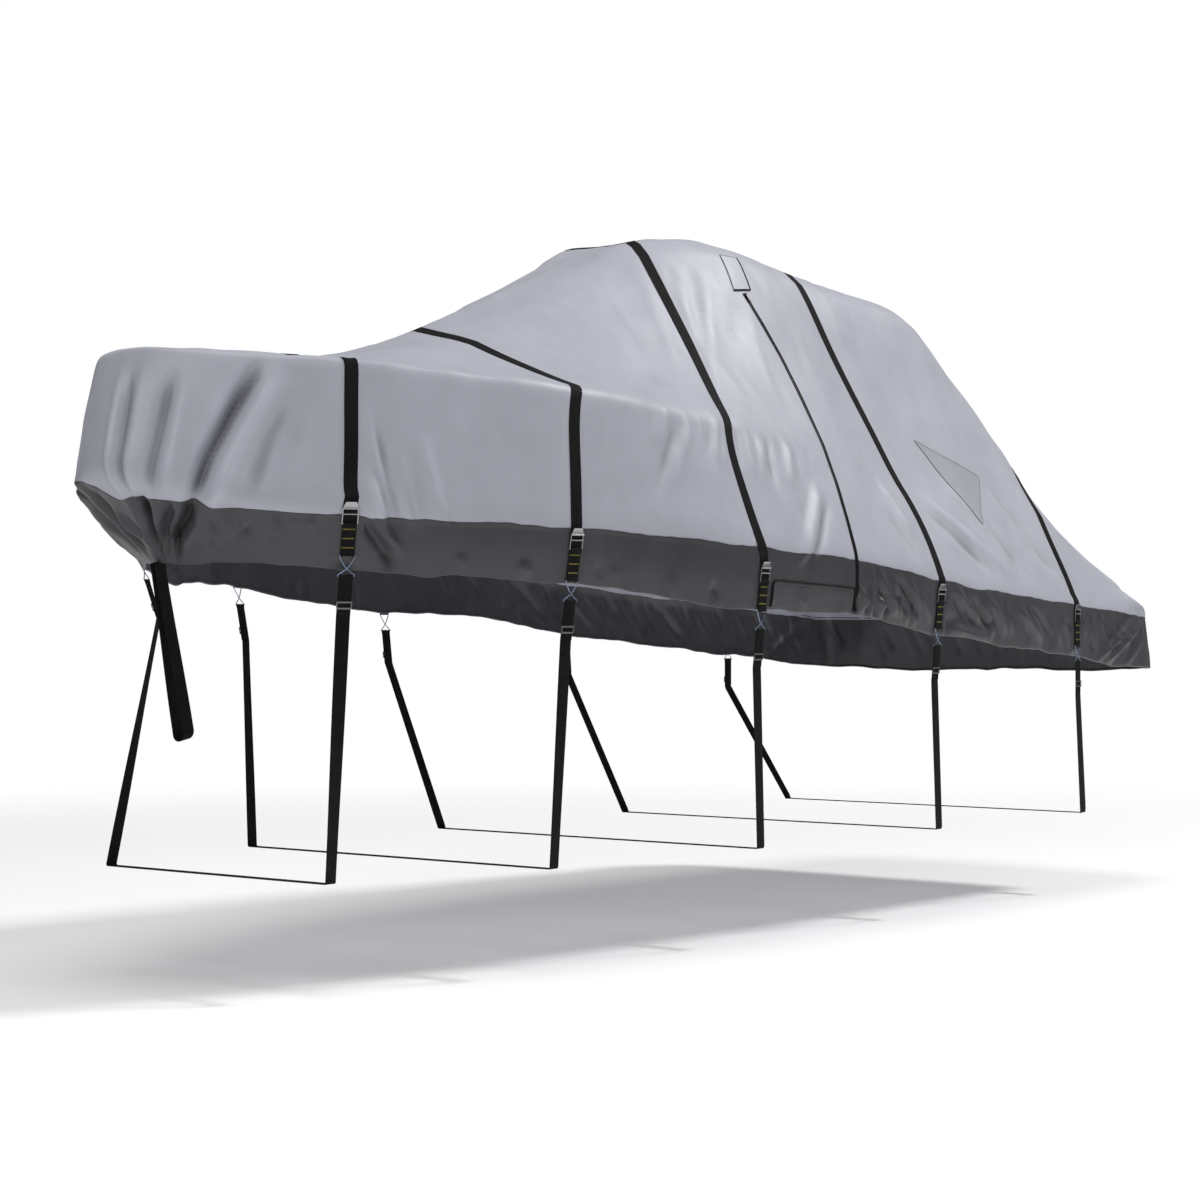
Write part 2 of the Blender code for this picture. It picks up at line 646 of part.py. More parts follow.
def add_tab(name, seat):
    """Doubled webbing sewn round the buckle's lower bar and the hook's upper wire."""
    back = TAB_WEBBING / 2
    front = back + TAB_WEBBING + GAP
    bar_u = -PLATE_HEIGHT - FRAME_HEIGHT + BAR / 2
    bar_n = BUCKLE_LIFT + PLATE / 2
    hook_u, hook_n = hook_bar(seat)
    grip = HOOK_WIRE + TAB_WEBBING / 2 + GAP
    belt = [(bar_u - 0.012, back), (bar_u, back)]
    belt += loop_points(bar_u, bar_n, TAB_GRIP, -40, 140, 6)
    belt += [(bar_u - 0.014, front)]
    belt += [(hook_u + 0.014, front)]
    belt += loop_points(hook_u, hook_n, grip, 60, 270, 7)
    belt += [(hook_u + 0.010, back)]
    path = [seat.at(0, u, n) for u, n in belt]
    solid = ribbon(path, [seat.t] * len(path), TAB_WEBBING, closed=True)
    add_object(name, solid, "webbing")


def hook_bar(seat):
    """Where the hook's upper wire crosses the tab's end, as (u, n)."""
    u = -PLATE_HEIGHT - FRAME_HEIGHT - TAB_LENGTH
    return u, TAB_WEBBING + GAP + HOOK_WIRE


def add_hook(name, seat):
    """Bent wire: a V under the tab that crosses into the triangle of the lower strap."""
    top_u, n = hook_bar(seat)
    low_u = top_u - HOOK_LENGTH
    cross_u = top_u - HOOK_LENGTH * HOOK_CROSSING
    wide = WEBBING_WIDTH / 2 + 0.006
    lower = WEBBING_WIDTH / 2 + 0.010
    lift = HOOK_WIRE * 1.1
    route = [(-wide, top_u, n), (wide, top_u, n), (0.004, cross_u, n + lift),
             (-lower, low_u, n), (lower, low_u, n), (-0.004, cross_u, n - lift)]
    rings = bmesh.new()
    loops = []
    for i, (t, u, lift_n) in enumerate(route):
        here = seat.at(t, u, lift_n)
        back = (here - seat.at(*route[i - 1])).normalized()
        ahead = (seat.at(*route[(i + 1) % len(route)]) - here).normalized()
        for part, aim in ((-1, back), (1, ahead)):
            centre = here + aim * (0.004 * part)
            side = aim.cross(seat.n).normalized()
            rise = side.cross(aim).normalized()
            loops.append([rings.verts.new(centre + (side * cos(a) + rise * sin(a)) * HOOK_WIRE)
                          for a in (2 * pi * k / HOOK_SIDES for k in range(HOOK_SIDES))])
    for i, loop in enumerate(loops):
        after = loops[(i + 1) % len(loops)]
        for k in range(HOOK_SIDES):
            m = (k + 1) % HOOK_SIDES
            rings.faces.new([loop[k], loop[m], after[m], after[k]])
    add_object(name, rings, "hook_wire")


def lower_end(seat):
    """Top of the lower strap: the hook's lower wire and the double layer below it."""
    top_u, n = hook_bar(seat)
    wire_u = top_u - HOOK_LENGTH
    grip = HOOK_WIRE + WEBBING / 2 + GAP
    arc = loop_points(wire_u, n, grip, 125, -125, 8)
    slider_u = wire_u - SLIDER_DROP
    tail = slider_u - SLIDER_HEIGHT - STRAP_TAIL
    apart = WEBBING / 2 + GAP
    front = [(tail, n + apart), (wire_u - 0.016, n + apart)]
    back = [(wire_u - 0.016, n - apart), (tail, n - apart)]
    return front + arc + back, slider_u, n


def add_lower_strap(number, seats, strap):
    """From one hook down, under the trailer frame and up to the hook on the other side."""
    path, widths = [], []
    for seat in seats:
        local, _, _ = lower_end(seat)
        side_path = [seat.at(0, u, n) for u, n in local]
        side_widths = [seat.t.copy() for _ in side_path]
        corner = STRAP_CORNER
        side = seat.side
        low = TRAILER_HEIGHT - TOP_HEIGHT
        foot = Vector((strap.foot_x, side * strap.foot_b, low + corner))
        start = side_path[-1]
        for k in range(1, 5):
            share = k / 5
            side_path.append(start.lerp(foot, share))
            side_widths.append(seat.t.lerp(Vector((1, 0, 0)), smooth(share)))
        for k in range(4):
            angle = radians(90 * k / 3)
            side_path.append(Vector((strap.foot_x,
                                     side * (strap.foot_b - corner * (1 - cos(angle))),
                                     low + corner * (1 - sin(angle)))))
            side_widths.append(Vector((1, 0, 0)))
        if seat is seats[1]:
            side_path.reverse()
            side_widths.reverse()
        path += side_path
        widths += side_widths
    add_object(f"lower_strap_{number}", ribbon(path, widths, WEBBING), "webbing")


def add_slider(name, seat):
    """Double-bar slider: a plate with one window, in front of both layers."""
    _, slider_u, n = lower_end(seat)
    inside = WEBBING + 2.6 * GAP
    width = WEBBING_WIDTH + 2 * SLIDER_WALL
    outer = rectangle(width, slider_u - SLIDER_HEIGHT, slider_u)
    window = rectangle(WEBBING_WIDTH - SLIDER_WALL, slider_u - SLIDER_HEIGHT + SLIDER_BAR,
                       slider_u - SLIDER_BAR)
    solid = plate(outer, [window], seat, n + inside, n + inside + SLIDER_WALL)
    add_object(name, solid, "slider_metal")


def add_bow_strap(points):
    """The loop that hangs from the gathered hem at the bow round the trailer's winch post."""
    half_top, half_low = BOW_HALF_TOP, BOW_HALF_LOW
    top = Vector(points[0, -1]) - Vector((0, 0, half_top + WEBBING / 2 + GAP))
    low = Vector((BOW_LOW[0], 0.0, BOW_LOW[1] - TOP_HEIGHT))
    path = []
    steps = 5
    for k in range(steps + 1):
        angle = pi * k / steps
        path.append(top + Vector((0, -half_top * cos(angle), half_top * sin(angle))))
    for k in range(1, steps):
        share = k / steps
        y = half_top + (half_low - half_top) * share
        path.append(top.lerp(low, share) + Vector((0, y, 0)))
    for k in range(steps + 1):
        angle = pi * k / steps
        path.append(low + Vector((0, half_low * cos(angle), -half_low * sin(angle))))
    for k in range(1, steps):
        share = 1 - k / steps
        y = half_top + (half_low - half_top) * share
        path.append(top.lerp(low, share) + Vector((0, -y, 0)))
    along = (low - top).normalized()
    across = along.cross(Vector((0, 1, 0))).normalized()
    add_object("bow_strap", ribbon(path, [across] * len(path), WEBBING, closed=True), "webbing")


def build():
    """Every piece of the cover."""
    for made in list(bpy.data.objects):
        bpy.data.objects.remove(made)
    points = cloth_points()
    add_cloth(points, sheet_normals(points))
    add_top_straps(points)
    add_appliques(points)
    sheet, _ = sheet_mesh(points)
    tree = BVHTree.FromBMesh(sheet)
    for number, strap in enumerate(STRAPS, 1):
        seats = [Seat(tree, strap, side) for side in (PORT, STARBOARD)]
        for seat, side in zip(seats, ("port", "starboard")):
            add_buckle(f"buckle_{side}_{number}", seat)
            add_tab(f"tab_{side}_{number}", seat)
            add_hook(f"hook_{side}_{number}", seat)
            add_slider(f"slider_{side}_{number}", seat)
        add_lower_strap(number, seats, strap)
    sheet.free()
    add_bow_strap(points)


build()
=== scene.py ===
"""Fitted boat cover, dressed: draped cloth, webbing, cam buckles, hooks, zip and patches.

Metres, +Z up, +X to the stern, -Y to port.  The origin is just under the top cloth.  Heights in
the tables are above the ground.
"""

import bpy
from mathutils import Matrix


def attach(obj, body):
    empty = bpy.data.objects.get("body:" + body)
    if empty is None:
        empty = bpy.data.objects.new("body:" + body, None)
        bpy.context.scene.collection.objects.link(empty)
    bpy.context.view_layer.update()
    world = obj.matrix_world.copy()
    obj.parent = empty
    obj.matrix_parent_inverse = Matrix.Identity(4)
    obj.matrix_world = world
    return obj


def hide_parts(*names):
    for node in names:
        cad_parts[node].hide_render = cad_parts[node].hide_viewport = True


bl_info = {
    "name": "Fitted Boat Cover",
    "version": (1, 0, 0),
    "blender": (4, 5, 0),
    "location": "View3D > Sidebar > Boat Cover",
    "description": "Builds a fitted boat cover with its straps, buckles, zip and patches",
    "category": "Object",
}

from collections import namedtuple
from math import cos, pi, radians, sin

import bmesh
import bpy
import numpy as np
from mathutils import Vector
from mathutils.bvhtree import BVHTree

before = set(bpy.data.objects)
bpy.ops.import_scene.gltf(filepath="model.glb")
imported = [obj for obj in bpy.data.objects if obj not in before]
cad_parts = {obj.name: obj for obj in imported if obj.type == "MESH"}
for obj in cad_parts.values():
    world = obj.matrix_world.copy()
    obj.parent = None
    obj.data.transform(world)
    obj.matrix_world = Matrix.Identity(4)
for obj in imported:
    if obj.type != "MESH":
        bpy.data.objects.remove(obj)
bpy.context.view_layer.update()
BODY = "root"
PORT, STARBOARD = -1, 1
SIDES = {"port": PORT, "starboard": STARBOARD}
STRAP_COUNT = 5

# ---------------------------------------------------------------- the cover's cut
TOP_HEIGHT = 3.385          # underside of the top cloth above the ground
Section = namedtuple("Section", "ridge shoulder rail seam hem")
LEVELS = len(Section._fields)
SEAM, HEM = 3, 4


def station(x, ridge, shoulder, rail, seam, hem):
    """A section square to the keel: the ridge height, then (half-breadth, height) pairs."""
    return Section((x, 0.0, ridge), *((x, *pair) for pair in (shoulder, rail, seam, hem)))


SECTIONS = (
    Section((-2.95, 0.00, 2.595), (-3.15, 0.00, 2.592), (-3.41, 0.00, 2.575),
            (-3.52, 0.00, 2.100), (-3.22, 0.00, 1.735)),
    Section((-2.93, 0.00, 2.596), (-3.10, 0.12, 2.592), (-3.35, 0.21, 2.570),
            (-3.46, 0.23, 2.045), (-3.18, 0.10, 1.732)),
    Section((-2.88, 0.00, 2.598), (-2.98, 0.22, 2.590), (-3.17, 0.39, 2.562),
            (-3.24, 0.44, 1.985), (-3.08, 0.25, 1.730)),
    station(-2.80, 2.605, (0.30, 2.590), (0.64, 2.552), (0.67, 1.939), (0.55, 1.711)),
    station(-2.40, 2.630, (0.38, 2.605), (0.84, 2.524), (0.87, 1.921), (0.79, 1.681)),
    station(-1.88, 2.755, (0.34, 2.695), (1.03, 2.489), (1.05, 1.903), (1.00, 1.668)),
    station(-1.30, 2.990, (0.28, 2.905), (1.06, 2.456), (1.14, 1.883), (1.10, 1.604)),
    station(-0.70, 3.240, (0.22, 3.205), (1.02, 2.421), (1.20, 1.841), (1.17, 1.562)),
    station(-0.38, 3.380, (0.28, 3.360), (1.00, 2.400), (1.21, 1.825), (1.17, 1.552)),
    station(0.05, 3.405, (0.42, 3.390), (0.98, 2.364), (1.21, 1.801), (1.18, 1.542)),
    station(0.78, 3.310, (0.49, 3.290), (0.95, 2.230), (1.22, 1.721), (1.19, 1.451)),
    station(1.62, 3.215, (0.52, 3.200), (0.90, 2.240), (1.20, 1.650), (1.18, 1.385)),
    station(1.95, 3.000, (0.56, 2.940), (0.92, 2.180), (1.19, 1.628), (1.17, 1.360)),
    station(2.28, 2.670, (0.66, 2.590), (0.95, 2.100), (1.17, 1.605), (1.15, 1.335)),
    station(2.80, 2.110, (0.84, 2.040), (1.02, 1.810), (1.14, 1.575), (1.13, 1.280)),
    station(3.08, 1.790, (1.00, 1.735), (1.08, 1.645), (1.12, 1.560), (1.13, 1.262)),
    Section((3.09, 0.00, 1.775), (3.15, 0.98, 1.700), (3.21, 1.03, 1.630),
            (3.26, 1.07, 1.555), (3.31, 1.08, 1.250)),
    Section((3.10, 0.00, 1.770), (3.19, 0.50, 1.715), (3.26, 0.50, 1.645),
            (3.30, 0.50, 1.550), (3.35, 0.50, 1.245)),
    Section((3.11, 0.00, 1.770), (3.20, 0.00, 1.725), (3.27, 0.00, 1.650),
            (3.31, 0.00, 1.550), (3.36, 0.00, 1.245)),
)
ROUNDING = np.array([0.0, 0.30, 0.08, 0.14, 0.0])
# How far below the corner of the side the band is sewn on: metres along, share of the band.
SEAM_DROP = ((0.0, 0.38), (0.23, 0.27), (0.40, 0.24), (0.85, 0.20), (1.05, 0.16), (1.5, 0.13),
             (2.4, 0.12), (3.4, 0.09), (3.9, 0.07), (4.6, 0.08), (5.3, 0.07), (6.2, 0.05),
             (8.4, 0.04))
FULLNESS = np.array([0.0, -0.020, 0.012, 0.006])

# Folds of the cloth.  Each row: half-width and height of the crest (or depth of the trough, when
# it is negative) in millimetres, how far the fold leans over to the stern (-1 to 1), then the
# points that it runs through, each as metres round the seam from the nose and a level.
PORT_FOLDS = (
    # the big overlapped folds at the bow
    (29, -50, 0, 0.7, 2.06, 0.56, 2.38, 0.47, 2.62, 0.42, 2.88, 0.38, 3.16),
    (44, 26, -0.5, 0.77, 2.06, 0.635, 2.38, 0.545, 2.62, 0.49, 2.88, 0.45, 3.16),
    (20, -34, 0, 0.41, 2.92, 0.34, 3.3, 0.27, 3.62, 0.19, 4),
    (30, -24, 0.25, 0.29, 2.12, 0.27, 2.4, 0.245, 2.75, 0.22, 3),
    (28, 10, -0.2, 0.345, 2.15, 0.32, 2.6, 0.29, 3),
    (24, -18, 0, 0.1, 2.08, 0.1, 2.6, 0.09, 3.1),
    (18, 12, 0, 0.045, 2.08, 0.05, 2.6, 0.04, 3.2),
    (16, 8, 0, 0.155, 2.1, 0.15, 2.6, 0.13, 3.05),
    (45, -10, 0, 0.84, 2.2, 0.72, 2.52, 0.62, 2.92),
    (50, -6, 0, 0.92, 2.25, 0.8, 2.62, 0.72, 3),
    # gathers that run down to the bow strap
    (22, -44, 0.2, 0.17, 2.9, 0.13, 3.4, 0.05, 4.05),
    (20, 14, 0, 0.22, 3.04, 0.16, 3.5, 0.09, 3.96),
    (20, -38, 0, 0.31, 2.96, 0.22, 3.5, 0.1, 4.05),
    (18, 12, 0, 0.38, 3.1, 0.3, 3.55, 0.17, 3.95),
    (18, -30, 0, 0.42, 3.02, 0.32, 3.5, 0.17, 4.05),
    (15, 10, 0, 0.08, 3.02, 0.05, 3.45, 0.03, 3.92),
    # pulled cloth beside the first strap
    (16, 14, 0.3, 1.13, 2.62, 1.19, 2.9, 1.26, 3.3, 1.35, 3.76),
    (20, -16, -0.3, 1.11, 2.92, 1.2, 3.36, 1.31, 3.92),
    (14, 9, 0, 1.12, 2.22, 1.15, 2.52, 1.21, 2.82),
    (14, 10, 0.2, 1.11, 2.76, 1.2, 3.14, 1.3, 3.62),
    (22, -8, 0, 1.17, 2.36, 1.23, 2.68, 1.32, 2.96),
    (14, -6, 0, 1.12, 2.44, 1.17, 2.66, 1.24, 2.92),
    # long soft draws down the roof before and behind the third strap
    (50, 9, 0, 2.89, 1.38, 2.54, 1.69),
    (40, 7, 0, 3.04, 1.42, 2.8, 1.62, 2.59, 1.79),
    (34, 8, 0, 3.59, 1.04, 3.38, 1.45, 2.9, 1.96),
    (26, -7, 0, 3.64, 1.06, 3.42, 1.5, 2.96, 1.94),
    (30, 8, 0, 3.71, 1.06, 3.47, 1.52, 3.05, 1.95),
    (26, -6, 0, 3.78, 1.05, 3.52, 1.53, 3.06, 1.98),
    (32, 9, 0, 3.85, 1.05, 3.6, 1.53, 3.12, 1.98),
    # pleats that hang from the rail
    (20, 8, 0, 3.12, 1.99, 3.06, 2.18, 3, 2.4),
    (26, -8, 0, 2.81, 2.06, 2.66, 2.37, 2.54, 2.68),
    (28, 8, 0, 2.9, 2.04, 2.76, 2.36, 2.66, 2.62),
    (18, -6, 0, 3.26, 2.01, 3.2, 2.39),
    (18, 7, 0, 3.35, 2.04, 3.28, 2.42),
    (22, 8, 0, 3.44, 2.06, 3.36, 2.47),
    (24, -8, 0, 3.54, 2.05, 3.44, 2.5),
    (22, 7, 0, 3.7, 2.08, 3.58, 2.47),
    (26, 17, 0.2, 3.88, 2.36, 3.76, 2.56, 3.63, 2.8, 3.49, 3.18),
    (26, -12, 0, 3.94, 2.44, 3.82, 2.62, 3.7, 2.86, 3.56, 3.2),
    # slanting draws aft of the zip
    (20, 13, 0, 4.1, 3.02, 4.15, 3.4, 4.19, 3.82),
    (18, 14, 0.2, 4.26, 3.02, 4.37, 3.4, 4.49, 3.76),
    (22, -13, 0, 4.33, 3.02, 4.44, 3.42, 4.58, 3.86),
    (18, 13, 0, 4.44, 3.1, 4.51, 3.5, 4.57, 3.92),
    (18, 13, 0.2, 4.86, 2.96, 5.04, 3.35, 5.23, 3.78),
    (24, -12, 0, 4.95, 2.98, 5.12, 3.36, 5.3, 3.78),
    (20, 11, 0, 5.19, 3.02, 5.32, 3.4, 5.47, 3.78),
    (22, 12, 0, 5.52, 3.2, 5.7, 3.5, 5.87, 3.86),
    (24, -11, 0, 5.64, 3.06, 5.84, 3.45, 6, 3.88),
    (28, 12, 0.3, 4.88, 2.03, 5.13, 2.35, 5.4, 2.61, 5.62, 2.84),
    (28, -9, 0, 4.9, 2.25, 5.13, 2.54, 5.37, 2.8),
    (26, 8, 0, 4.5, 2.07, 4.56, 2.33, 4.6, 2.67),
    (30, 8, 0, 5.23, 1.96, 5.47, 2.34, 5.66, 2.8),
    (32, -7, 0, 5.75, 1.9, 5.95, 2.3, 6.1, 2.72),
    (30, 24, 0, 4.8, 3.84, 5.04, 3.92, 5.3, 3.96),
    # the stern corner
    (20, 26, 0, 7.16, 2.88, 6.95, 3.3, 6.8, 3.6, 6.58, 4.08),
    (18, 20, 0, 7.04, 2.88, 6.86, 3.26, 6.7, 3.58, 6.5, 4.06),
    (18, 10, 0, 7.13, 3.38, 7, 3.66, 6.86, 4),
)
STARBOARD_FOLDS = (
    (38, -34, 0.3, 0.58, 2.14, 0.46, 2.6, 0.36, 3.05, 0.2, 3.92),
    (26, 14, -0.3, 0.64, 2.18, 0.52, 2.62, 0.42, 3.05),
    (32, -20, 0, 0.27, 2.12, 0.22, 2.95),
    (26, -24, 0, 0.2, 3, 0.15, 3.45, 0.07, 3.96),
    (22, 12, 0, 0.3, 3.04, 0.22, 3.5, 0.11, 3.96),
    (24, -16, 0, 0.42, 3.06, 0.32, 3.55, 0.18, 3.95),
    (20, 12, 0, 1.13, 2.6, 1.24, 3.1, 1.4, 3.8),
    (24, -12, 0, 1.22, 2.8, 1.34, 3.25, 1.5, 3.9),
    (45, 9, 0, 3.55, 1.1, 3.2, 1.92),
    (30, 10, 0, 3.1, 2.02, 2.86, 2.8),
    (28, -9, 0, 3.34, 2.04, 3.16, 2.6),
    (24, 13, 0, 4.3, 3.02, 4.6, 3.86),
    (26, -13, 0, 4.72, 3, 5.02, 3.86),
    (26, 14, 0, 5.5, 3.04, 5.86, 3.9),
    (24, 20, 0.2, 7.06, 3.02, 6.84, 3.5, 6.62, 3.94),
)
Fold = namedtuple("Fold", "side width depth lean path")
FOLDS = [Fold(side, row[0] / 1000, row[1] / 1000, row[2], np.reshape(row[3:], (-1, 2)))
         for side, table in ((PORT, PORT_FOLDS), (STARBOARD, STARBOARD_FOLDS))
         for row in table]

# Families of like creases: side, how many, reach along the seam, level they run from and to,
# how far they drift towards the stern, half-width, height, and the seed of their spread.
Creases = namedtuple("Creases", "side count reach start end drift width height seed")
CREASES = [Creases(*row) for row in (
    (PORT, 13, (0.12, 1.02), 2.98, 3.34, 0.03, 0.013, 0.01, 11),
    (STARBOARD, 14, (0.1, 1.10), 2.90, 3.10, 0.02, 0.013, 0.008, 12),
    (PORT, 16, (0.02, 0.85), 3.15, 3.95, -0.1, 0.012, 0.0075, 13),
    (STARBOARD, 14, (0.02, 0.85), 3.15, 3.95, -0.1, 0.012, 0.007, 14),
    (PORT, 18, (2.55, 3.95), 2.02, 2.45, -0.09, 0.012, 0.0042, 15),
    (PORT, 14, (1.10, 1.42), 2.45, 3.20, 0.12, 0.009, 0.005, 16),
    (PORT, 34, (4.02, 6.90), 3.02, 3.90, 0.16, 0.013, 0.0072, 17),
    (PORT, 20, (3.98, 4.50), 3.45, 4.03, 0.04, 0.012, 0.011, 18),
    (PORT, 16, (4.40, 6.20), 2.25, 2.95, 0.26, 0.02, 0.0045, 19),
    (PORT, 14, (3, 4.10), 1.15, 1.95, -0.36, 0.022, 0.0045, 20),
    (STARBOARD, 26, (3.60, 6.90), 3.02, 3.90, 0.16, 0.013, 0.0068, 21),
    (STARBOARD, 14, (2.60, 4.30), 2.02, 2.50, -0.1, 0.016, 0.0045, 22),
    (STARBOARD, 12, (3, 6), 1.20, 1.95, -0.2, 0.026, 0.0045, 23),
    (PORT, 12, (7.10, 8.25), 3.05, 3.90, 0.06, 0.016, 0.007, 24),
    (STARBOARD, 12, (7.10, 8.25), 3.05, 3.90, 0.06, 0.016, 0.007, 25),
    (PORT, 20, (1.10, 6.90), 3.60, 3.99, 0.05, 0.02, 0.005, 26),
    (STARBOARD, 20, (1.10, 6.90), 3.60, 3.99, 0.05, 0.02, 0.005, 27),
)]
FOLD_GAIN = 1.65
CREASE_GAIN = 2.4
NOSE_EDGE = 0.01            # creases keep this far from the nose's middle line


def creases_as_folds():
    """Each family's creases, spread unevenly in the same way on each run."""
    folds = []
    for family in CREASES:
        rng = np.random.default_rng(family.seed)
        low, high = family.reach
        span = family.end - family.start
        for k in range(family.count):
            along = low + (high - low) / family.count * (k + rng.uniform(0.1, 0.9))
            start = family.start + span * rng.uniform(-0.06, 0.22)
            end = family.end - span * rng.uniform(0.0, 0.40)
            drift = family.drift * rng.uniform(0.5, 1.4)
            bow = rng.uniform(-0.015, 0.015)
            height = family.height * rng.uniform(0.35, 1.25) * (1 if k % 3 else -0.8)
            width = family.width * rng.uniform(0.8, 1.5)
            path = ((along, start), (along + drift / 2 + bow, (start + end) / 2),
                    (along + drift, end))
            folds.append(Fold(family.side, width, height, rng.uniform(-0.3, 0.3),
                              [(max(a, NOSE_EDGE), level) for a, level in path]))
    return folds


# ---------------------------------------------------------------- straps and sewn pieces
# A strap over the cover: x of its middle at the levels in STRAP_LEVELS, which end at the
# buckle, and where it passes under the trailer's frame.
Strap = namedtuple("Strap", "middle foot_x foot_b")
STRAP_LEVELS = (0.0, 0.5, 1.0, 1.25, 1.5, 1.75, 2.0, 2.25, 2.5, 2.75, 3.0)
STRAPS = (
    Strap((-2.78, -2.78, -2.78, -2.778, -2.775, -2.774, -2.775, -2.789, -2.796, -2.804,
           -2.807), -2.90, 0.66),
    Strap((-1.70, -1.715, -1.720, -1.714, -1.704, -1.735, -1.830, -1.862, -1.863, -1.859,
           -1.852), -1.84, 0.92),
    Strap((-0.36, -0.38, -0.430, -0.458, -0.498, -0.592, -0.742, -0.790, -0.770, -0.742,
           -0.700), -0.45, 1.00),
    Strap((0.64, 0.635, 0.625, 0.630, 0.690, 0.762, 0.803, 0.828, 0.829, 0.813, 0.792),
          1.09, 1.02),
    Strap((2.42, 2.42, 2.41, 2.385, 2.345, 2.300, 2.268, 2.252, 2.260, 2.280, 2.281),
          2.66, 1.00),
)
TRAILER_HEIGHT = 0.455
GAP = 0.0003
WEBBING = 0.0020
BELT = 0.058                # width of all the webbing
# Stitches: their length, the gap to the next and the thread's radius.
SEAM_STITCH = (0.0034, 0.0010, 0.0005)
TAB_STITCH = (0.0034, 0.0008, 0.0009)
STRAP_STITCH = (0.0032, 0.0010, 0.0006)
TAB_WEBBING = 0.0018
FRAME_WIDTH = 0.068
FRAME_HEIGHT = 0.066
PLATE_HEIGHT = 0.028
PLATE_TOP = 0.044
PLATE = 0.004
BUCKLE_LIFT = WEBBING + 2.4 * GAP
BAR = 0.007
RAIL = 0.0045
BAR_RISE = 0.040
TAB_LENGTH = 0.128
TAB_GRIP = 0.0052
HOOK_LENGTH = 0.086
HOOK_WIRE = 0.0022
HOOK_CROSSING = 0.62
SLIDER_DROP = 0.105
SLIDER_HEIGHT = 0.034
SLIDER_BAR = 0.008
SLIDER_WALL = 0.003
STRAP_TAIL = 0.030
STRAP_CORNER = 0.008
ZIP_WIDTH = 0.026
ZIP_LINE = ((3.116, 0.048), (2.77, 0.140), (2.40, 0.118), (2.08, 0.065), (1.79, 0.042),
            (1.50, 0.064))
FLAP_OUTLINE = ((0.015, 3.314), (0.135, 3.310), (0.112, 3.142), (-0.018, 3.128))
PATCH_OUTLINE = ((-0.625, 1.520), (-0.625, 1.690), (0.035, 1.664), (0.035, 1.500))
GUSSET_OUTLINE = ((1.18, 2.458), (1.74, 2.288), (1.51, 2.018))
BOW_LOW = (-3.082, 1.045)
BOW_HALF_TOP = 0.012
BOW_HALF_LOW = 0.032


def smooth(t):
    """0 to 1 with level ends."""
    t = np.clip(t, 0.0, 1.0)
    return t * t * (3 - 2 * t)


def unit(vectors):
    """Vectors of length one along the last axis."""
    length = np.linalg.norm(vectors, axis=-1, keepdims=True)
    return vectors / np.maximum(length, 1e-12)


def bell(x, middle, width):
    """1 in the middle, falling softly to 0 on both sides."""
    return np.exp(-((x - middle) / width)**2)


def covered(line):
    """Distance along a line to each of its points."""
    return np.concatenate([[0.0], np.cumsum(np.linalg.norm(np.diff(line, axis=0), axis=1))])


def between(at, knots, values):
    """Rows of values read at places between the knots."""
    return np.stack([np.interp(at, knots, column) for column in np.transpose(values)], -1)


def softened(grid, times):
    """A grid averaged with its neighbours round it and down it."""
    for _ in range(times):
        grid = (np.roll(grid, 1, 0) + np.roll(grid, -1, 0) + 2 * grid) / 4
        grid[:, 1:-1] = (grid[:, 2:] + grid[:, :-2] + 2 * grid[:, 1:-1]) / 4
    return grid


def mirrored_rows(count):
    """For each row of the cloth, the row that shares its ridge point."""
    return -np.arange(count) % count


# ---------------------------------------------------------------- the draped surface
MIDDLE = np.array([0.0, 0.0, -1.2])     # a point inside the cover


def spline(before, start, end, after, knots, t):
    """Point at t of a smooth curve from start to end, eased into its neighbours."""
    k0, k1, k2, k3 = knots
    tangent_start = (end - before) / (k2 - k0)
    tangent_end = (after - start) / (k3 - k1)
    step = k2 - k1
    a, b = 2 * t**3 - 3 * t**2 + 1, t**3 - 2 * t**2 + t
    c, d = -2 * t**3 + 3 * t**2, t**3 - t**2
    return a * start + b * step * tangent_start + c * end + d * step * tangent_end


def control_rows(spacing):
    """Fine rows of the five level points, right round: nose, port, transom, starboard."""
    port = [[(x, -b, z - TOP_HEIGHT) for x, b, z in s] for s in SECTIONS]
    other = [[(x, b, z - TOP_HEIGHT) for x, b, z in s] for s in SECTIONS[-2:0:-1]]
    rows = np.array(port + other)
    count = len(rows)
    steps = np.linalg.norm(np.roll(rows, -1, 0) - rows, axis=2)[:, 1:].max(1)
    result = []
    for i in range(count):
        ids = [(i - 1) % count, i, (i + 1) % count, (i + 2) % count]
        knots = np.cumsum([0.0, steps[ids[0]], steps[i], steps[ids[2]]])
        pieces = max(1, round(steps[i] / spacing))
        result += [spline(*rows[ids], knots, k / pieces) for k in range(pieces)]
    return np.array(result)


def section_grid(controls, levels):
    """Points of each row at its levels, with the corners rounded as the cloth turns them."""
    rows = np.arange(len(controls))[:, None]
    nearest = np.rint(levels).astype(int)
    radius = ROUNDING[nearest]
    near = (nearest > 0) & (nearest < LEVELS - 1) & (np.abs(levels - nearest) < radius)
    corner = controls[rows, nearest]
    part = radius[..., None]
    before = corner + (controls[rows, np.maximum(nearest - 1, 0)] - corner) * part
    after = corner + (controls[rows, np.minimum(nearest + 1, HEM)] - corner) * part
    t = ((levels - nearest + radius) / np.maximum(2 * radius, 1e-9))[..., None]
    curved = (1 - t)**2 * before + 2 * t * (1 - t) * corner + t * t * after
    span = np.clip(levels.astype(int), 0, LEVELS - 2)
    t = (levels - span)[..., None]
    straight = controls[rows, span] * (1 - t) + controls[rows, span + 1] * t
    return np.where(near[..., None], curved, straight)


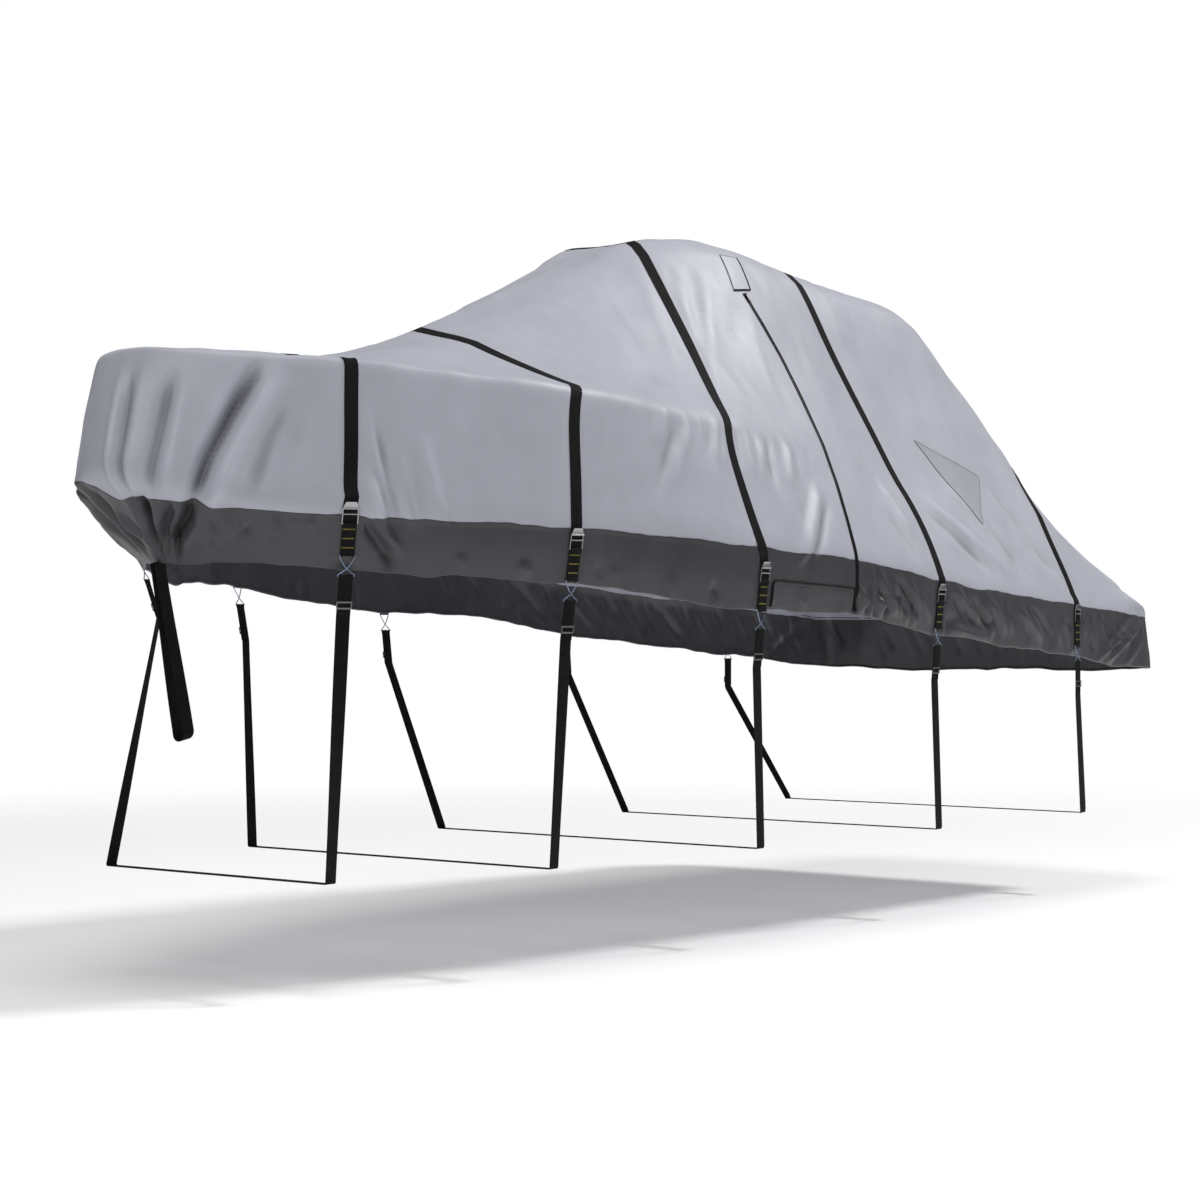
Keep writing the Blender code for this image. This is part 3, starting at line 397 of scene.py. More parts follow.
def grid_normals(points):
    """Outward unit normals of the grid that runs right round and down both sides."""
    mirror = mirrored_rows(len(points))
    along = np.roll(points, -1, 0) - np.roll(points, 1, 0)
    padded = np.concatenate([points[mirror, 1][:, None], points, points[:, -1:]], axis=1)
    down = padded[:, 2:] - padded[:, :-2]
    normals = unit(np.cross(along, down))
    normals[:, 0] = unit(normals[:, 1] + normals[mirror, 1])
    return normals if ((points - MIDDLE) * normals).sum() >= 0 else -normals


def waves(points, seed, length, stretch=(1.0, 1.0, 0.55), count=28):
    """Soft uneven rise and fall of about unit height, the same on each run."""
    rng = np.random.default_rng(seed)
    total = np.zeros(points.shape[:-1])
    scaled = points * np.array(stretch)
    for _ in range(count):
        aim = rng.normal(size=3)
        aim *= 2 * pi / length / np.linalg.norm(aim) * rng.uniform(0.7, 1.4)
        total += np.cos(scaled @ aim + rng.uniform(0, 2 * pi))
    return total * (2 / count)**0.5


class Cloth:
    """The cover's outer face as a fine grid of rows round it and columns down it."""

    def __init__(self, spacing):
        self.controls = control_rows(spacing)
        self.count = len(self.controls)
        self.half = self.count // 2
        along = covered(self.controls[:self.half + 1, SEAM])
        self.along = np.concatenate([along, along[self.half - 1:0:-1]])
        self.side = np.where(np.arange(self.count) <= self.half, PORT, STARBOARD)
        spans = [np.linspace(level, level + 1, steps, endpoint=False)
                 for level, steps in enumerate(COLUMN_STEPS)]
        self.levels = np.concatenate([*spans, [HEM]])
        self.seam_column = sum(COLUMN_STEPS[:SEAM])
        grid = np.broadcast_to(self.levels, (self.count, len(self.levels))).copy()
        drop = np.interp(self.along, *np.array(SEAM_DROP).T)
        drop *= np.where(self.side == STARBOARD, 1 - smooth(self.along / 0.28), 1.0)
        grid += drop[:, None] * smooth(1 - np.abs(self.levels - SEAM) / 0.95)
        self.points = section_grid(self.controls, grid)
        self.normals = grid_normals(self.points)
        self.shape_folds()

    def rows_of(self, side):
        """Row numbers of one side from the nose to the middle of the transom."""
        port = np.arange(self.half + 1)
        return port if side == PORT else -port % self.count

    def place(self, side, along, level):
        """Smooth point of the cloth at metres round the seam and a level."""
        rows = self.rows_of(side)
        i = np.interp(along, self.along[:self.half + 1], np.arange(self.half + 1))
        j = np.interp(level, self.levels, np.arange(len(self.levels)))
        i0 = np.clip(i.astype(int), 0, self.half - 1)
        j0 = np.clip(j.astype(int), 0, len(self.levels) - 2)
        ti, tj = (i - i0)[:, None], (j - j0)[:, None]
        top = self.base[rows[i0], j0] * (1 - tj) + self.base[rows[i0], j0 + 1] * tj
        low = self.base[rows[i0 + 1], j0] * (1 - tj) + self.base[rows[i0 + 1], j0 + 1] * tj
        return top * (1 - ti) + low * ti

    def fold_push(self, fold):
        """Outward push of one fold over the whole grid, as (row, column, push)."""
        knots = np.array(fold.path, float)
        at = np.linspace(0, len(knots) - 1, 8 * (len(knots) - 1) + 1)
        line = self.place(fold.side, *between(at, np.arange(len(knots)), knots).T)
        reach = 3.2 * fold.width
        mask = np.all((self.base > line.min(0) - reach) & (self.base < line.max(0) + reach),
                      axis=2)
        mask &= (self.side == fold.side)[:, None] | (np.abs(self.base[:, :, 1]) < 0.02)
        rows, columns = np.nonzero(mask)
        here = self.base[rows, columns]
        run_to = covered(line)
        best = np.full(len(here), 1e9)
        share = np.zeros(len(here))
        handed = np.zeros(len(here))
        for k, run in enumerate(np.diff(line, axis=0)):
            t = np.clip((here - line[k]) @ run / max(run @ run, 1e-12), 0, 1)
            off = here - line[k] - t[:, None] * run
            distance = np.linalg.norm(off, axis=1)
            nearer = distance < best
            best[nearer] = distance[nearer]
            share[nearer] = (run_to[k] + t[nearer] * np.linalg.norm(run)) / run_to[-1]
            handed[nearer] = np.sign(off[nearer, 0] + 1e-9)
        width = fold.width * (1 - fold.lean * handed)
        taper = smooth(3 * share + 0.08) * smooth(3 * (1 - share) + 0.08)
        return rows, columns, fold.depth * taper * np.exp(-(best / width)**1.6)

    def strap_distance(self, points):
        """How far each point lies from the middle of the nearest strap over the top."""
        far = np.full(points.shape[:-1], 9.0)
        for strap in STRAPS:
            far = np.minimum(far, np.abs(points[..., 0] - strap_line(strap, self.levels)))
        return far

    def shape_folds(self):
        """Hang the spans, then add folds, soft waves, strap dents and hardware's seats."""
        span = np.clip(self.levels.astype(int), 0, LEVELS - 2)
        hang = FULLNESS[span] * np.sin(pi * (self.levels - span))
        self.base = self.points + self.normals * hang[None, :, None]
        push = np.zeros(self.base.shape[:2])
        for folds, gain in ((FOLDS, FOLD_GAIN), (creases_as_folds(), CREASE_GAIN)):
            for fold in folds:
                rows, columns, depth = self.fold_push(fold)
                push[rows, columns] += depth * gain
        push = softened(push * np.where(self.levels < 1.97, 0.6, 1.0), 1)
        far = self.strap_distance(self.base)
        push *= 0.12 + 0.88 * smooth((far - 0.036) / 0.045)
        soft = 0.0035 * waves(self.base, 3, 0.75) + 0.0016 * waves(self.base, 5, 0.30)
        soft += 0.0006 * waves(self.base, 8, 0.12)
        push += soft * (0.15 + 0.85 * smooth((far - 0.030) / 0.16))
        push -= 0.005 * bell(far, 0, 0.050)
        x = self.base[..., 0]
        push -= 0.026 * bell(x, -0.42, 0.50) * (1 - smooth(self.levels / 0.95))
        push += 0.034 * bell(self.along[:, None], 7.02, 0.16) * bell(self.levels, 2.45, 0.42)
        push[:, 0] = (push[:, 0] + push[mirrored_rows(self.count), 0]) / 2
        push += 0.020 * bell(x, 3.04, 0.085) * (1 - smooth((self.levels - 1.5) / 0.9))
        push -= 0.045 * bell(x, 2.62, 0.25) * (1 - smooth((self.levels - 1.1) / 1.0))
        self.points = self.base + self.normals * push[..., None]
        # painted light of the folds: 0.5 on even cloth, up to 1 (painted shade) deep in a fold
        # and down to 0 (painted highlight) along its crest
        self.painted_fold_shading = softened(0.5 + 0.5 * np.tanh((softened(push, 14) - push) / 0.010), 1)
        self.fray_edges()
        self.normals = grid_normals(self.points)
        for seat in SEATS.values():
            self.press(seat)
        self.normals = grid_normals(self.points)

    def fray_edges(self):
        """Let the seam wander a little and the hem rise and fall between its straps."""
        down = np.zeros_like(self.points)
        down[:, 1:-1] = unit(self.points[:, 2:] - self.points[:, :-2])
        down[:, -1] = unit(self.points[:, -1] - self.points[:, -2])
        round_it = np.zeros_like(self.points[:, :1])
        round_it[:, 0, 0], round_it[:, 0, 1] = self.along, self.side * 1.7
        seam, hem = (sum(height * waves(round_it, seed, length, (1.0, 1.0, 1.0))
                         for height, seed, length in rows)
                     for rows in (((0.0024, 31, 0.34), (0.0012, 32, 0.11)),
                                  ((0.0045, 33, 0.60), (0.0016, 34, 0.17))))
        hem += 0.016 * bell(self.along[:, None], 1.45, 0.07)
        shift = seam * bell(self.levels, SEAM, 0.22) + hem * smooth((self.levels - 3.35) / 0.65)
        self.points = self.points + down * shift[..., None]

    def press(self, seat):
        """Press the cloth flat under a buckle and its tab."""
        local = seat.local(self.points)
        t, u, n = local[..., 0], local[..., 1], local[..., 2]
        near = smooth((0.085 - np.abs(t)) / 0.045)
        near = near * smooth((u + 0.285) / 0.05) * smooth((0.055 - u) / 0.05)
        near = np.where((np.abs(n) < 0.2) & (self.side == seat.side)[:, None], near, 0.0)
        sink = np.minimum(-0.0008 - n, 0.0) * near
        lift = np.maximum(-0.0035 - n, 0.0) * near
        self.points = self.points + np.array(seat.n) * (sink + lift)[..., None]


def strap_line(strap, levels):
    """x of a strap's middle at each level."""
    near = np.linspace(-0.14, 0.14, 9)
    weight = np.cos(near / 0.18 * pi / 2)
    runs = [np.interp(levels + n, STRAP_LEVELS, strap.middle) for n in near]
    return np.average(runs, axis=0, weights=weight)


# ---------------------------------------------------------------- hardware's seats
class Place:
    """A place on the cloth with its own axes: t across, u along, n out from the cloth."""

    def __init__(self, origin, t, u, n):
        self.origin, self.t, self.u, self.n = Vector(origin), Vector(t), Vector(u), Vector(n)

    def at(self, t, u, n):
        """World point of local coordinates."""
        return self.origin + self.t * t + self.u * u + self.n * n

    def local(self, points):
        """Local coordinates of world points."""
        axes = np.array([self.t, self.u, self.n])
        return (points - np.array(self.origin)) @ axes.T


class Seat(Place):
    """Where a buckle, its tab and hook lie: t along the side, u up, n out from the cloth."""

    def __init__(self, side_name, number):
        self.side = SIDES[side_name]
        buckle = node_points(f"buckle_{side_name}_{number}")
        tab = node_points(f"tab_{side_name}_{number}")
        middle = buckle.mean(0)
        spread = np.linalg.svd(buckle - middle)[2]
        n = spread[2] * np.sign(spread[2][1] * self.side)
        u = middle - tab.mean(0)
        u = unit(u - n * (u @ n))
        t = np.cross(u, n) * -self.side
        top = ((buckle - middle) @ u).max()
        low = ((buckle - middle) @ n).min()
        centre = ((buckle - middle) @ t)
        sideways = (centre.max() + centre.min()) / 2
        super().__init__(middle + u * top + n * (low - BUCKLE_LIFT) + t * sideways,
                         unit(t), u, n)


def node_points(name):
    """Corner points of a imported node."""
    return np.array([v.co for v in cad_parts[name].data.vertices], float)


COLUMN_STEPS = (7, 24, 27, 18)
ROW_SPACING = 0.0112
SEATS = {(side, number): Seat(side, number)
         for number in range(1, STRAP_COUNT + 1) for side in SIDES}
CLOTH = Cloth(ROW_SPACING)


def seats(number):
    """The port and the starboard seat of a strap."""
    return [SEATS[side, number] for side in SIDES]


def both(kind, number):
    """Names of a strap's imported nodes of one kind, port and starboard."""
    return [f"{kind}_{side}_{number}" for side in SIDES]


# ---------------------------------------------------------------- meshes
def grid_faces(rows, columns, closed_rows=False, closed_columns=False):
    """Quads of a grid whose points are numbered row by row."""
    i = np.arange(rows if closed_rows else rows - 1)[:, None]
    j = np.arange(columns if closed_columns else columns - 1)[None, :]
    k, m = (i + 1) % rows, (j + 1) % columns
    return np.stack([i * columns + j, i * columns + m, k * columns + m,
                     k * columns + j], axis=-1).reshape(-1, 4)


def tube_faces(count, width, closed=False):
    """Faces of rings of points joined into a tube, with its ends capped."""
    faces = grid_faces(count, width, closed, True)[:, [0, 3, 2, 1]].tolist()
    if not closed:
        faces.append(list(range(width)))
        faces.append([(count - 1) * width + j for j in range(width)][::-1])
    return faces


class Build:
    """Points, faces, cloth coordinates and finishes of one piece, gathered from its parts."""

    def __init__(self):
        self.points, self.faces, self.uvs, self.finish = [], [], [], []
        self.painted_fold_shading = []

    def add(self, points, faces, uvs, finish=0, painted_fold_shading=None):
        """Take in one part."""
        start = len(self.points)
        points = np.asarray(points, float).reshape(-1, 3)
        self.points += points.tolist()
        self.faces += [[start + int(i) for i in face] for face in faces]
        self.uvs += np.asarray(uvs, float).reshape(-1, 2).tolist()
        self.finish += [finish] * len(faces)
        self.painted_fold_shading += [0.5] * len(points) if painted_fold_shading is None else np.ravel(painted_fold_shading).tolist()

    def piece(self, name, finishes, nodes, slot, sharp=40):
        """The finished object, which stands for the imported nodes."""
        data = bpy.data.meshes.new(name)
        data.from_pydata(self.points, [], self.faces)
        layer = data.uv_layers.new(name="cut")
        corners = np.empty(len(data.loops), int)
        data.loops.foreach_get("vertex_index", corners)
        layer.data.foreach_set("uv", np.array(self.uvs)[corners].ravel())
        # painted fold shading: shade deep in the folds, highlight on their crests, for the
        # cloth's finish
        data.attributes.new("painted_fold_shading", "FLOAT", "POINT").data.foreach_set("value", self.painted_fold_shading)
        data.polygons.foreach_set("material_index", self.finish)
        for finish in finishes.split():
            data.materials.append(finish_of(finish))
        data.update()
        data.shade_smooth()
        data.set_sharp_from_angle(angle=radians(sharp))
        made = bpy.data.objects.new(name, data)
        bpy.context.scene.collection.objects.link(made)
        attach(made, BODY)
        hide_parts(*nodes)
        return made


def sweep(path, across, out, profile, closed=False):
    """A closed profile of (across, out) offsets carried along a path, with capped ends."""
    path, across, out = (np.asarray(a, float) for a in (path, across, out))
    profile = np.asarray(profile, float)
    points = (path[:, None] + across[:, None] * profile[None, :, :1]
              + out[:, None] * profile[None, :, 1:])
    uvs = np.stack(np.broadcast_arrays(profile[None, :, 0], covered(path)[:, None]), axis=-1)
    return points.reshape(-1, 3), tube_faces(*points.shape[:2], closed), uvs.reshape(-1, 2)


def heading(path, closed=False):
    """Unit vectors ahead along a path."""
    return unit(np.roll(path, -1, 0) - np.roll(path, 1, 0) if closed
                else np.gradient(path, axis=0))


def frames(path, out, closed=False):
    """Across and outward unit vectors of a path whose outward direction is roughly known."""
    path = np.asarray(path, float)
    ahead = heading(path, closed)
    out = np.broadcast_to(np.asarray(out, float), path.shape)
    across = unit(np.cross(out, ahead))
    return across, unit(np.cross(ahead, across))


def ring(radius, sides):
    """Profile of a round wire."""
    angles = 2 * pi * np.arange(sides) / sides
    return np.stack([radius * np.cos(angles), radius * np.sin(angles)], axis=1)


def flat_profile(width, thickness):
    """Profile of webbing: a flat band with soft selvedges, its middle at zero."""
    half, rise = width / 2, thickness / 2
    edge = min(0.0016, width / 6)
    front = [(-half, 0.3 * rise), (-half + edge, rise), (-half / 2, rise * 1.04), (0, rise),
             (half / 2, rise * 1.04), (half - edge, rise), (half, 0.3 * rise)]
    return front + [(a, -b) for a, b in front[::-1]]


def wire(build, path, radius, sides=8, closed=False, out=(0, 0, 1), finish=0):
    """Add a round wire along points."""
    across, up = frames(path, out, closed)
    build.add(*sweep(path, across, up, ring(radius, sides), closed), finish=finish)


def add_belt(build, path, across, out, thickness=WEBBING, closed=False):
    """Add webbing along a path whose directions across and out are known."""
    points, faces, uvs = sweep(path, across, out, flat_profile(BELT, thickness), closed)
    build.add(points, outward_strip(points, faces), uvs)


def arc(centre_u, centre_n, radius, start, stop, steps):
    """Points of an arc in the (u, n) plane, angles in degrees from +u towards +n."""
    turns = [radians(start + (stop - start) * k / steps) for k in range(steps + 1)]
    return [(centre_u + radius * cos(a), centre_n + radius * sin(a)) for a in turns]


def rounded(corners, radii, steps=5, closed=True):
    """A 2-D or 3-D line with its corners rounded to radii."""
    corners = [np.array(c, float) for c in corners]
    radii = radii if isinstance(radii, (list, tuple)) else [radii] * len(corners)
    line = []
    count = len(corners)
    for i, corner in enumerate(corners):
        if not closed and i in (0, count - 1) or not radii[i]:
            line.append(corner)
            continue
        before, after = corners[i - 1] - corner, corners[(i + 1) % count] - corner
        cut = min(radii[i], 0.49 * np.linalg.norm(before), 0.49 * np.linalg.norm(after))
        first, last = corner + unit(before) * cut, corner + unit(after) * cut
        for k in range(steps + 1):
            t = k / steps
            line.append((1 - t)**2 * first + 2 * t * (1 - t) * corner + t * t * last)
    return np.array(line)


def dense(line, spacing, closed=False):
    """The line with points at an even spacing."""
    line = np.asarray(line, float)
    if closed:
        line = np.concatenate([line, line[:1]])
    run_to = covered(line)
    count = max(2, round(run_to[-1] / spacing))
    at = np.linspace(0, run_to[-1], count + 1)[:count + (not closed)]
    return between(at, run_to, line)


def metal_plate(build, outline, windows, seat, low, high, bevel=0.0007, finish=0,
                bend=lambda u: 0.0):
    """Add a bevelled plate with windows; loops are (t, u) in the seat's own axes."""
    curve = bpy.data.curves.new("plate", "CURVE")
    curve.dimensions, curve.fill_mode = "2D", "BOTH"
    curve.extrude = (high - low) / 2 - bevel
    curve.bevel_depth, curve.bevel_resolution, curve.offset = bevel, 1, -bevel
    for loop in [outline, *windows]:
        spline_made = curve.splines.new("POLY")
        spline_made.points.add(len(loop) - 1)
        for point, (a, b) in zip(spline_made.points, loop):
            point.co = (a, b, 0, 1)
        spline_made.use_cyclic_u = True
    holder = bpy.data.objects.new("plate", curve)
    bpy.context.scene.collection.objects.link(holder)
    depsgraph = bpy.context.evaluated_depsgraph_get()
    data = bpy.data.meshes.new_from_object(holder.evaluated_get(depsgraph))
    bpy.data.objects.remove(holder)
    shaped = bmesh.new()
    shaped.from_mesh(data)
    bpy.data.meshes.remove(data)
    bmesh.ops.remove_doubles(shaped, verts=shaped.verts, dist=1e-6)
    bmesh.ops.recalc_face_normals(shaped, faces=shaped.faces)
    flip = seat.t.cross(seat.u).dot(seat.n) < 0
    points, uvs = [], []
    for vert in shaped.verts:
        t, u, n = vert.co.x, vert.co.y, vert.co.z + (low + high) / 2
        points.append(seat.at(t, u, n + bend(u)))
        uvs.append((t, u))
    shaped.verts.index_update()
    faces = [[v.index for v in face.verts][::-1 if flip else 1] for face in shaped.faces]
    shaped.free()
    build.add(points, faces, uvs, finish)


def box_loop(width, low, high, corner=0.004):
    """A loop of (t, u) points: a rectangle with rounded corners."""
    half = width / 2
    return rounded([(-half, low), (half, low), (half, high), (-half, high)], corner)


# ---------------------------------------------------------------- the cloth's skin
class Skin:
    """Finds the cloth of one side under a point given by x and z."""

    def __init__(self, side):
        self.side = side
        rows = CLOTH.rows_of(side)
        self.points = CLOTH.points[rows]
        self.normals = CLOTH.normals[rows].reshape(-1, 3)
        self.faces = grid_faces(*self.points.shape[:2])
        self.tree = BVHTree.FromPolygons(self.points.reshape(-1, 3).tolist(),
                                         self.faces.tolist())

    def touch(self, x, z):
        """Point and outward normal of the cloth."""
        hit, _, face, _ = self.tree.ray_cast(Vector((x, 3.0 * self.side, z)),
                                             Vector((0, -self.side, 0)), 6.0)
        if hit is None:
            raise ValueError(f"no cloth at x {x:.3f}, z {z:.3f}")
        return np.array(hit), unit(self.normals[self.faces[face]].mean(0))

    def lay(self, line, lift):
        """Points over the cloth along a line of (x, height), and their normals."""
        points, normals = np.array([self.touch(x, z - TOP_HEIGHT) for x, z in line]) \
            .transpose(1, 0, 2)
        return points + normals * lift, normals

    def hem_height(self, x):
        """Height of the hem above the ground at x."""
        edge = self.points[:, -1]
        middle = slice(len(edge) // 12, -len(edge) // 12)
        return np.interp(x, edge[middle, 0], edge[middle, 2]) + TOP_HEIGHT

SKINS = {name: Skin(side) for name, side in SIDES.items()}


def sewn_patch(build, skin, outline, thickness, lift):
    """Add a flat piece of cloth laid over the cover, its edge turned under."""
    outline = np.asarray(outline, float)
    centre = outline.mean(0)
    shares = [1.0, 1.0, 0.985, 0.94, 0.85, 0.72, 0.58, 0.44, 0.30, 0.15]
    rises = [lift, lift + 0.7 * thickness] + [lift + thickness] * 8
    points, uvs = [], []
    for share, rise in zip(shares, rises):
        line = centre + (outline - centre) * share
        laid, _ = skin.lay(line, rise)
        points += laid.tolist()
        uvs += line.tolist()
    laid, _ = skin.lay([centre], lift + thickness)
    points.append(laid[0].tolist())
    uvs.append(centre.tolist())
    count = len(outline)
    faces = grid_faces(len(shares), count, closed_columns=True).tolist()
    last = (len(shares) - 1) * count
    faces += [[last + i, last + (i + 1) % count, len(points) - 1] for i in range(count)]
    first = np.array(points)[faces[-1]]
    if np.cross(first[1] - first[0], first[2] - first[0])[1] * skin.side < 0:
        faces = [face[::-1] for face in faces]
    build.add(points, faces, uvs)


def stitch_row(build, points, normals, length, gap, radius, finish):
    """Add a row of stitches along points that lie on the cloth."""
    run_to = covered(points)
    for start in np.arange(gap / 2, run_to[-1] - length, length + gap):
        at = start + length * np.array([0.0, 0.25, 0.75, 1.0])
        out = between(at, run_to, normals)
        line = between(at, run_to, points)
        line = line + out * (radius * np.array([-0.6, 0.5, 0.5, -0.6]))[:, None]
        across, up = frames(line, out.mean(0))
        build.add(*sweep(line, across, up, ring(radius, 5)), finish=finish)


def stitch_bar(build, seat, u, n, half, count, stitch):
    """Add a row of stitches straight across a strap."""
    line = np.array([seat.at(t, u, n) for t in np.linspace(-half, half, count)])
    stitch_row(build, line, np.broadcast_to(np.array(seat.n), line.shape), *stitch, 1)


# ---------------------------------------------------------------- shader maths
class Shade:
    """A socket of a finish's nodes, so that shader maths reads as plain Python."""

    def __init__(self, finish, socket):
        self.finish, self.socket = finish, socket

    def maths(self, operation, *values):
        """A Math node on numbers and sockets."""
        return self.finish.node("ShaderNodeMath", {"operation": operation},
                                dict(enumerate(values)))

    def __add__(self, other):
        return self.maths("ADD", self, other)

    __radd__ = __add__

    def __mul__(self, other):
        return self.maths("MULTIPLY", self, other)

    __rmul__ = __mul__

    def __sub__(self, other):
        return self.maths("SUBTRACT", self, other)

    def __rsub__(self, other):
        return self.maths("SUBTRACT", other, self)

    def sine(self):
        """Sine of radians."""
        return self.maths("SINE", self)

    def step(self, low, high):
        """0 below low and 1 above high, soft between."""
        return self.finish.node("ShaderNodeMapRange",
                                {"interpolation_type": "SMOOTHSTEP"},
                                {"Value": self, "From Min": low, "From Max": high})


class Nodes:
    """A node tree, filled node by node."""

    def __init__(self, tree):
        self.tree = tree

    def node(self, kind, settings, inputs, output=0):
        """Any node: its settings first, then its sockets' values and links."""
        made = self.tree.nodes.new(kind)
        for name, value in settings.items():
            setattr(made, name, value)
        for key, value in inputs.items():
            if isinstance(value, Shade):
                self.tree.links.new(value.socket, made.inputs[key])
            else:
                made.inputs[key].default_value = value
        return Shade(self, made.outputs[output])


class Finish(Nodes):
    """A procedural material under construction."""

    def __init__(self, name, **constants):
        self.material = bpy.data.materials.new(name)
        self.material.use_nodes = True
        super().__init__(self.material.node_tree)
        self.surface = next(n for n in self.tree.nodes if n.type == "BSDF_PRINCIPLED")
        for socket, value in constants.items():
            self.surface.inputs[socket.replace("_", " ")].default_value = value

    def where(self, kind):
        """Coordinates: "UV" in metres of cloth, or "Object"."""
        return self.node("ShaderNodeTexCoord", {}, {}, kind)

    def part(self, vector, axis):
        """One number of a vector."""
        return self.node("ShaderNodeSeparateXYZ", {}, {0: vector}, axis)

    def stretch(self, vector, scale):
        """A vector scaled along its axes."""
        return self.node("ShaderNodeVectorMath", {"operation": "MULTIPLY"},
                         {0: vector, 1: scale})

    def noise(self, vector, size, detail=2.0, rough=0.5, twist=0.0):
        """Soft noise of a size in metres."""
        return self.node("ShaderNodeTexNoise", {},
                         {"Vector": vector, "Scale": 1 / size, "Detail": detail,
                          "Roughness": rough, "Distortion": twist})

    def mix(self, low, high, factor):
        """From one colour to another."""
        return self.node("ShaderNodeMix", {"data_type": "RGBA"},
                         {0: factor, 6: low, 7: high}, 2)

    def feed(self, **sockets):
        """Link values that change over the surface."""
        for socket, value in sockets.items():
            self.tree.links.new(value.socket, self.surface.inputs[socket.replace("_", " ")])

    def relief(self, height):
        """Bump of a height in metres."""
        self.feed(Normal=self.node("ShaderNodeBump", {},
                                   {"Height": height, "Distance": 1.0, "Strength": 1.0}))


def tone(colour, factor):
    """A colour made lighter or darker."""
    return (*(min(1.0, c * factor) for c in colour[:3]), 1.0)


def woven(finish, uv, pitch):
    """Height, 0 to 1, of a plain weave of threads at a pitch."""
    u, v = finish.part(uv, 0) * (pi / pitch), finish.part(uv, 1) * (pi / pitch)
    return u.sine() * v.sine() * 0.5 + 0.5


def cloth_finish(name, colour, roughness):
    """Coated polyester: plain weave, soft handling marks, painted shade in the folds and painted
    highlight on their crests, a satin face.
    """
    finish = Finish(name, Specular_IOR_Level=0.50, Sheen_Weight=0.06, Sheen_Roughness=0.45)
    uv, place = finish.where("UV"), finish.where("Object")
    broad = finish.noise(place, 0.85, 3.0, 0.55)
    mottle = finish.noise(place, 0.16, 4.0, 0.6, 0.4)
    speck = finish.noise(place, 0.006, 2.0)
    runs = finish.noise(finish.stretch(place, (1.0, 1.0, 0.16)), 0.07, 3.0)
    wear = broad * 0.50 + mottle * 0.40 + runs * 0.10
    shade = finish.mix(tone(colour, 0.94), tone(colour, 1.05), wear.step(0.25, 0.75))
    shade = finish.mix(shade, tone(colour, 1.12), speck.step(0.62, 0.80) * 0.25)
    # painted shade darkens the cloth deep in its folds and painted highlight lightens it along
    # their crests, read from the cloth's painted fold shading attribute
    folds = finish.node("ShaderNodeAttribute", {"attribute_name": "painted_fold_shading"}, {}, "Fac")
    for factor, mask in ((0.38, folds.step(0.56, 0.98) * 0.70),
                         (0.18, folds.step(0.90, 1.0) * 0.60),
                         (1.22, (1 - folds).step(0.56, 1.0) * 0.60)):
        shade = finish.mix(shade, tone(colour, factor), mask)
    height = woven(finish, uv, 0.0011) * 0.00007 + mottle * 0.0010 + speck * 0.00012
    finish.feed(Base_Color=shade,
                Roughness=(mottle - 0.5) * 0.18 + (broad - 0.5) * 0.10 + roughness)
    finish.relief(height)
    return finish.material


def webbing_finish(name, colour):
    """Polypropylene webbing: ribs along, picks across, a dusty sheen."""
    finish = Finish(name, Specular_IOR_Level=0.10, Sheen_Weight=0.01, Sheen_Roughness=0.4)
    uv, place = finish.where("UV"), finish.where("Object")
    across, along = finish.part(uv, 0), finish.part(uv, 1)
    twill = ((across + along) * (2 * pi / 0.0032)).sine() * 0.5 + 0.5
    picks = (along * (2 * pi / 0.0016)).sine() * 0.5 + 0.5
    dust = finish.noise(place, 0.05, 3.0, 0.6)
    finish.feed(Base_Color=finish.mix(tone(colour, 0.75), tone(colour, 1.5),
                                      twill * 0.4 + dust.step(0.4, 0.8) * 0.6),
                Roughness=dust * 0.2 + 0.58)
    finish.relief(twill * 0.00022 + picks * 0.00010)
    return finish.material


def metal_finish(name, colour, roughness, scratch=0.5):
    """Plated metal: soft cast grain, fine scratches, duller in the handled places."""
    finish = Finish(name, Metallic=1.0)
    place = finish.where("Object")
    grain = finish.noise(place, 0.0012, 3.0)
    rubbed = finish.noise(place, 0.018, 4.0, 0.6)
    lines = finish.noise(finish.stretch(place, (1.0, 1.0, 14.0)), 0.012, 2.0)
    finish.feed(Base_Color=finish.mix(tone(colour, 0.72), tone(colour, 1.12),
                                      rubbed * 0.6 + lines * 0.4),
                Roughness=rubbed * 0.16 + lines * (0.14 * scratch) + (roughness - 0.13))
    finish.relief(grain * 0.00006 + lines * 0.00004)
    return finish.material


def thread_finish(name, colour, roughness=0.6):
    """Sewing thread, piping cord or moulded zip: a fine twist and a slight sheen."""
    finish = Finish(name, Specular_IOR_Level=0.15, Sheen_Weight=0.02)
    place = finish.where("Object")
    twist = finish.noise(place, 0.0016, 2.0)
    fade = finish.noise(place, 0.04, 3.0)
    finish.feed(Base_Color=finish.mix(tone(colour, 0.75), tone(colour, 1.2),
                                      twist * 0.5 + fade * 0.5),
                Roughness=fade * 0.2 + (roughness - 0.1))
    finish.relief(twist * 0.00015)
    return finish.material


# ---------------------------------------------------------------- sizes and finishes
def length_property(name, description, default):
    """A length that a maker would change."""
    return bpy.props.FloatProperty(name=name, description=description, default=default,
                                   subtype="DISTANCE", unit="LENGTH")


class BoatCoverSizes(bpy.types.PropertyGroup):
    """Sizes that a maker would change."""

    seam_lap: length_property("Seam lap", "How far the band laps over the canopy", 0.014)
    hem_cord: length_property("Hem cord", "Radius of the elastic rolled into the hem", 0.0055)
    piping: length_property("Piping", "Radius of the patches' piping", 0.0046)
    bartacks: bpy.props.IntProperty(
        name="Bartacks", description="Sewn bars across each tab", default=3, min=1)
    zip_pitch: length_property("Zip pitch", "Distance between the zip's teeth", 0.0050)


def colour_property(name, description, default):
    """A colour that a maker would change."""
    return bpy.props.FloatVectorProperty(name=name, description=description, size=3,
                                         subtype="COLOR", default=default, min=0, max=1)


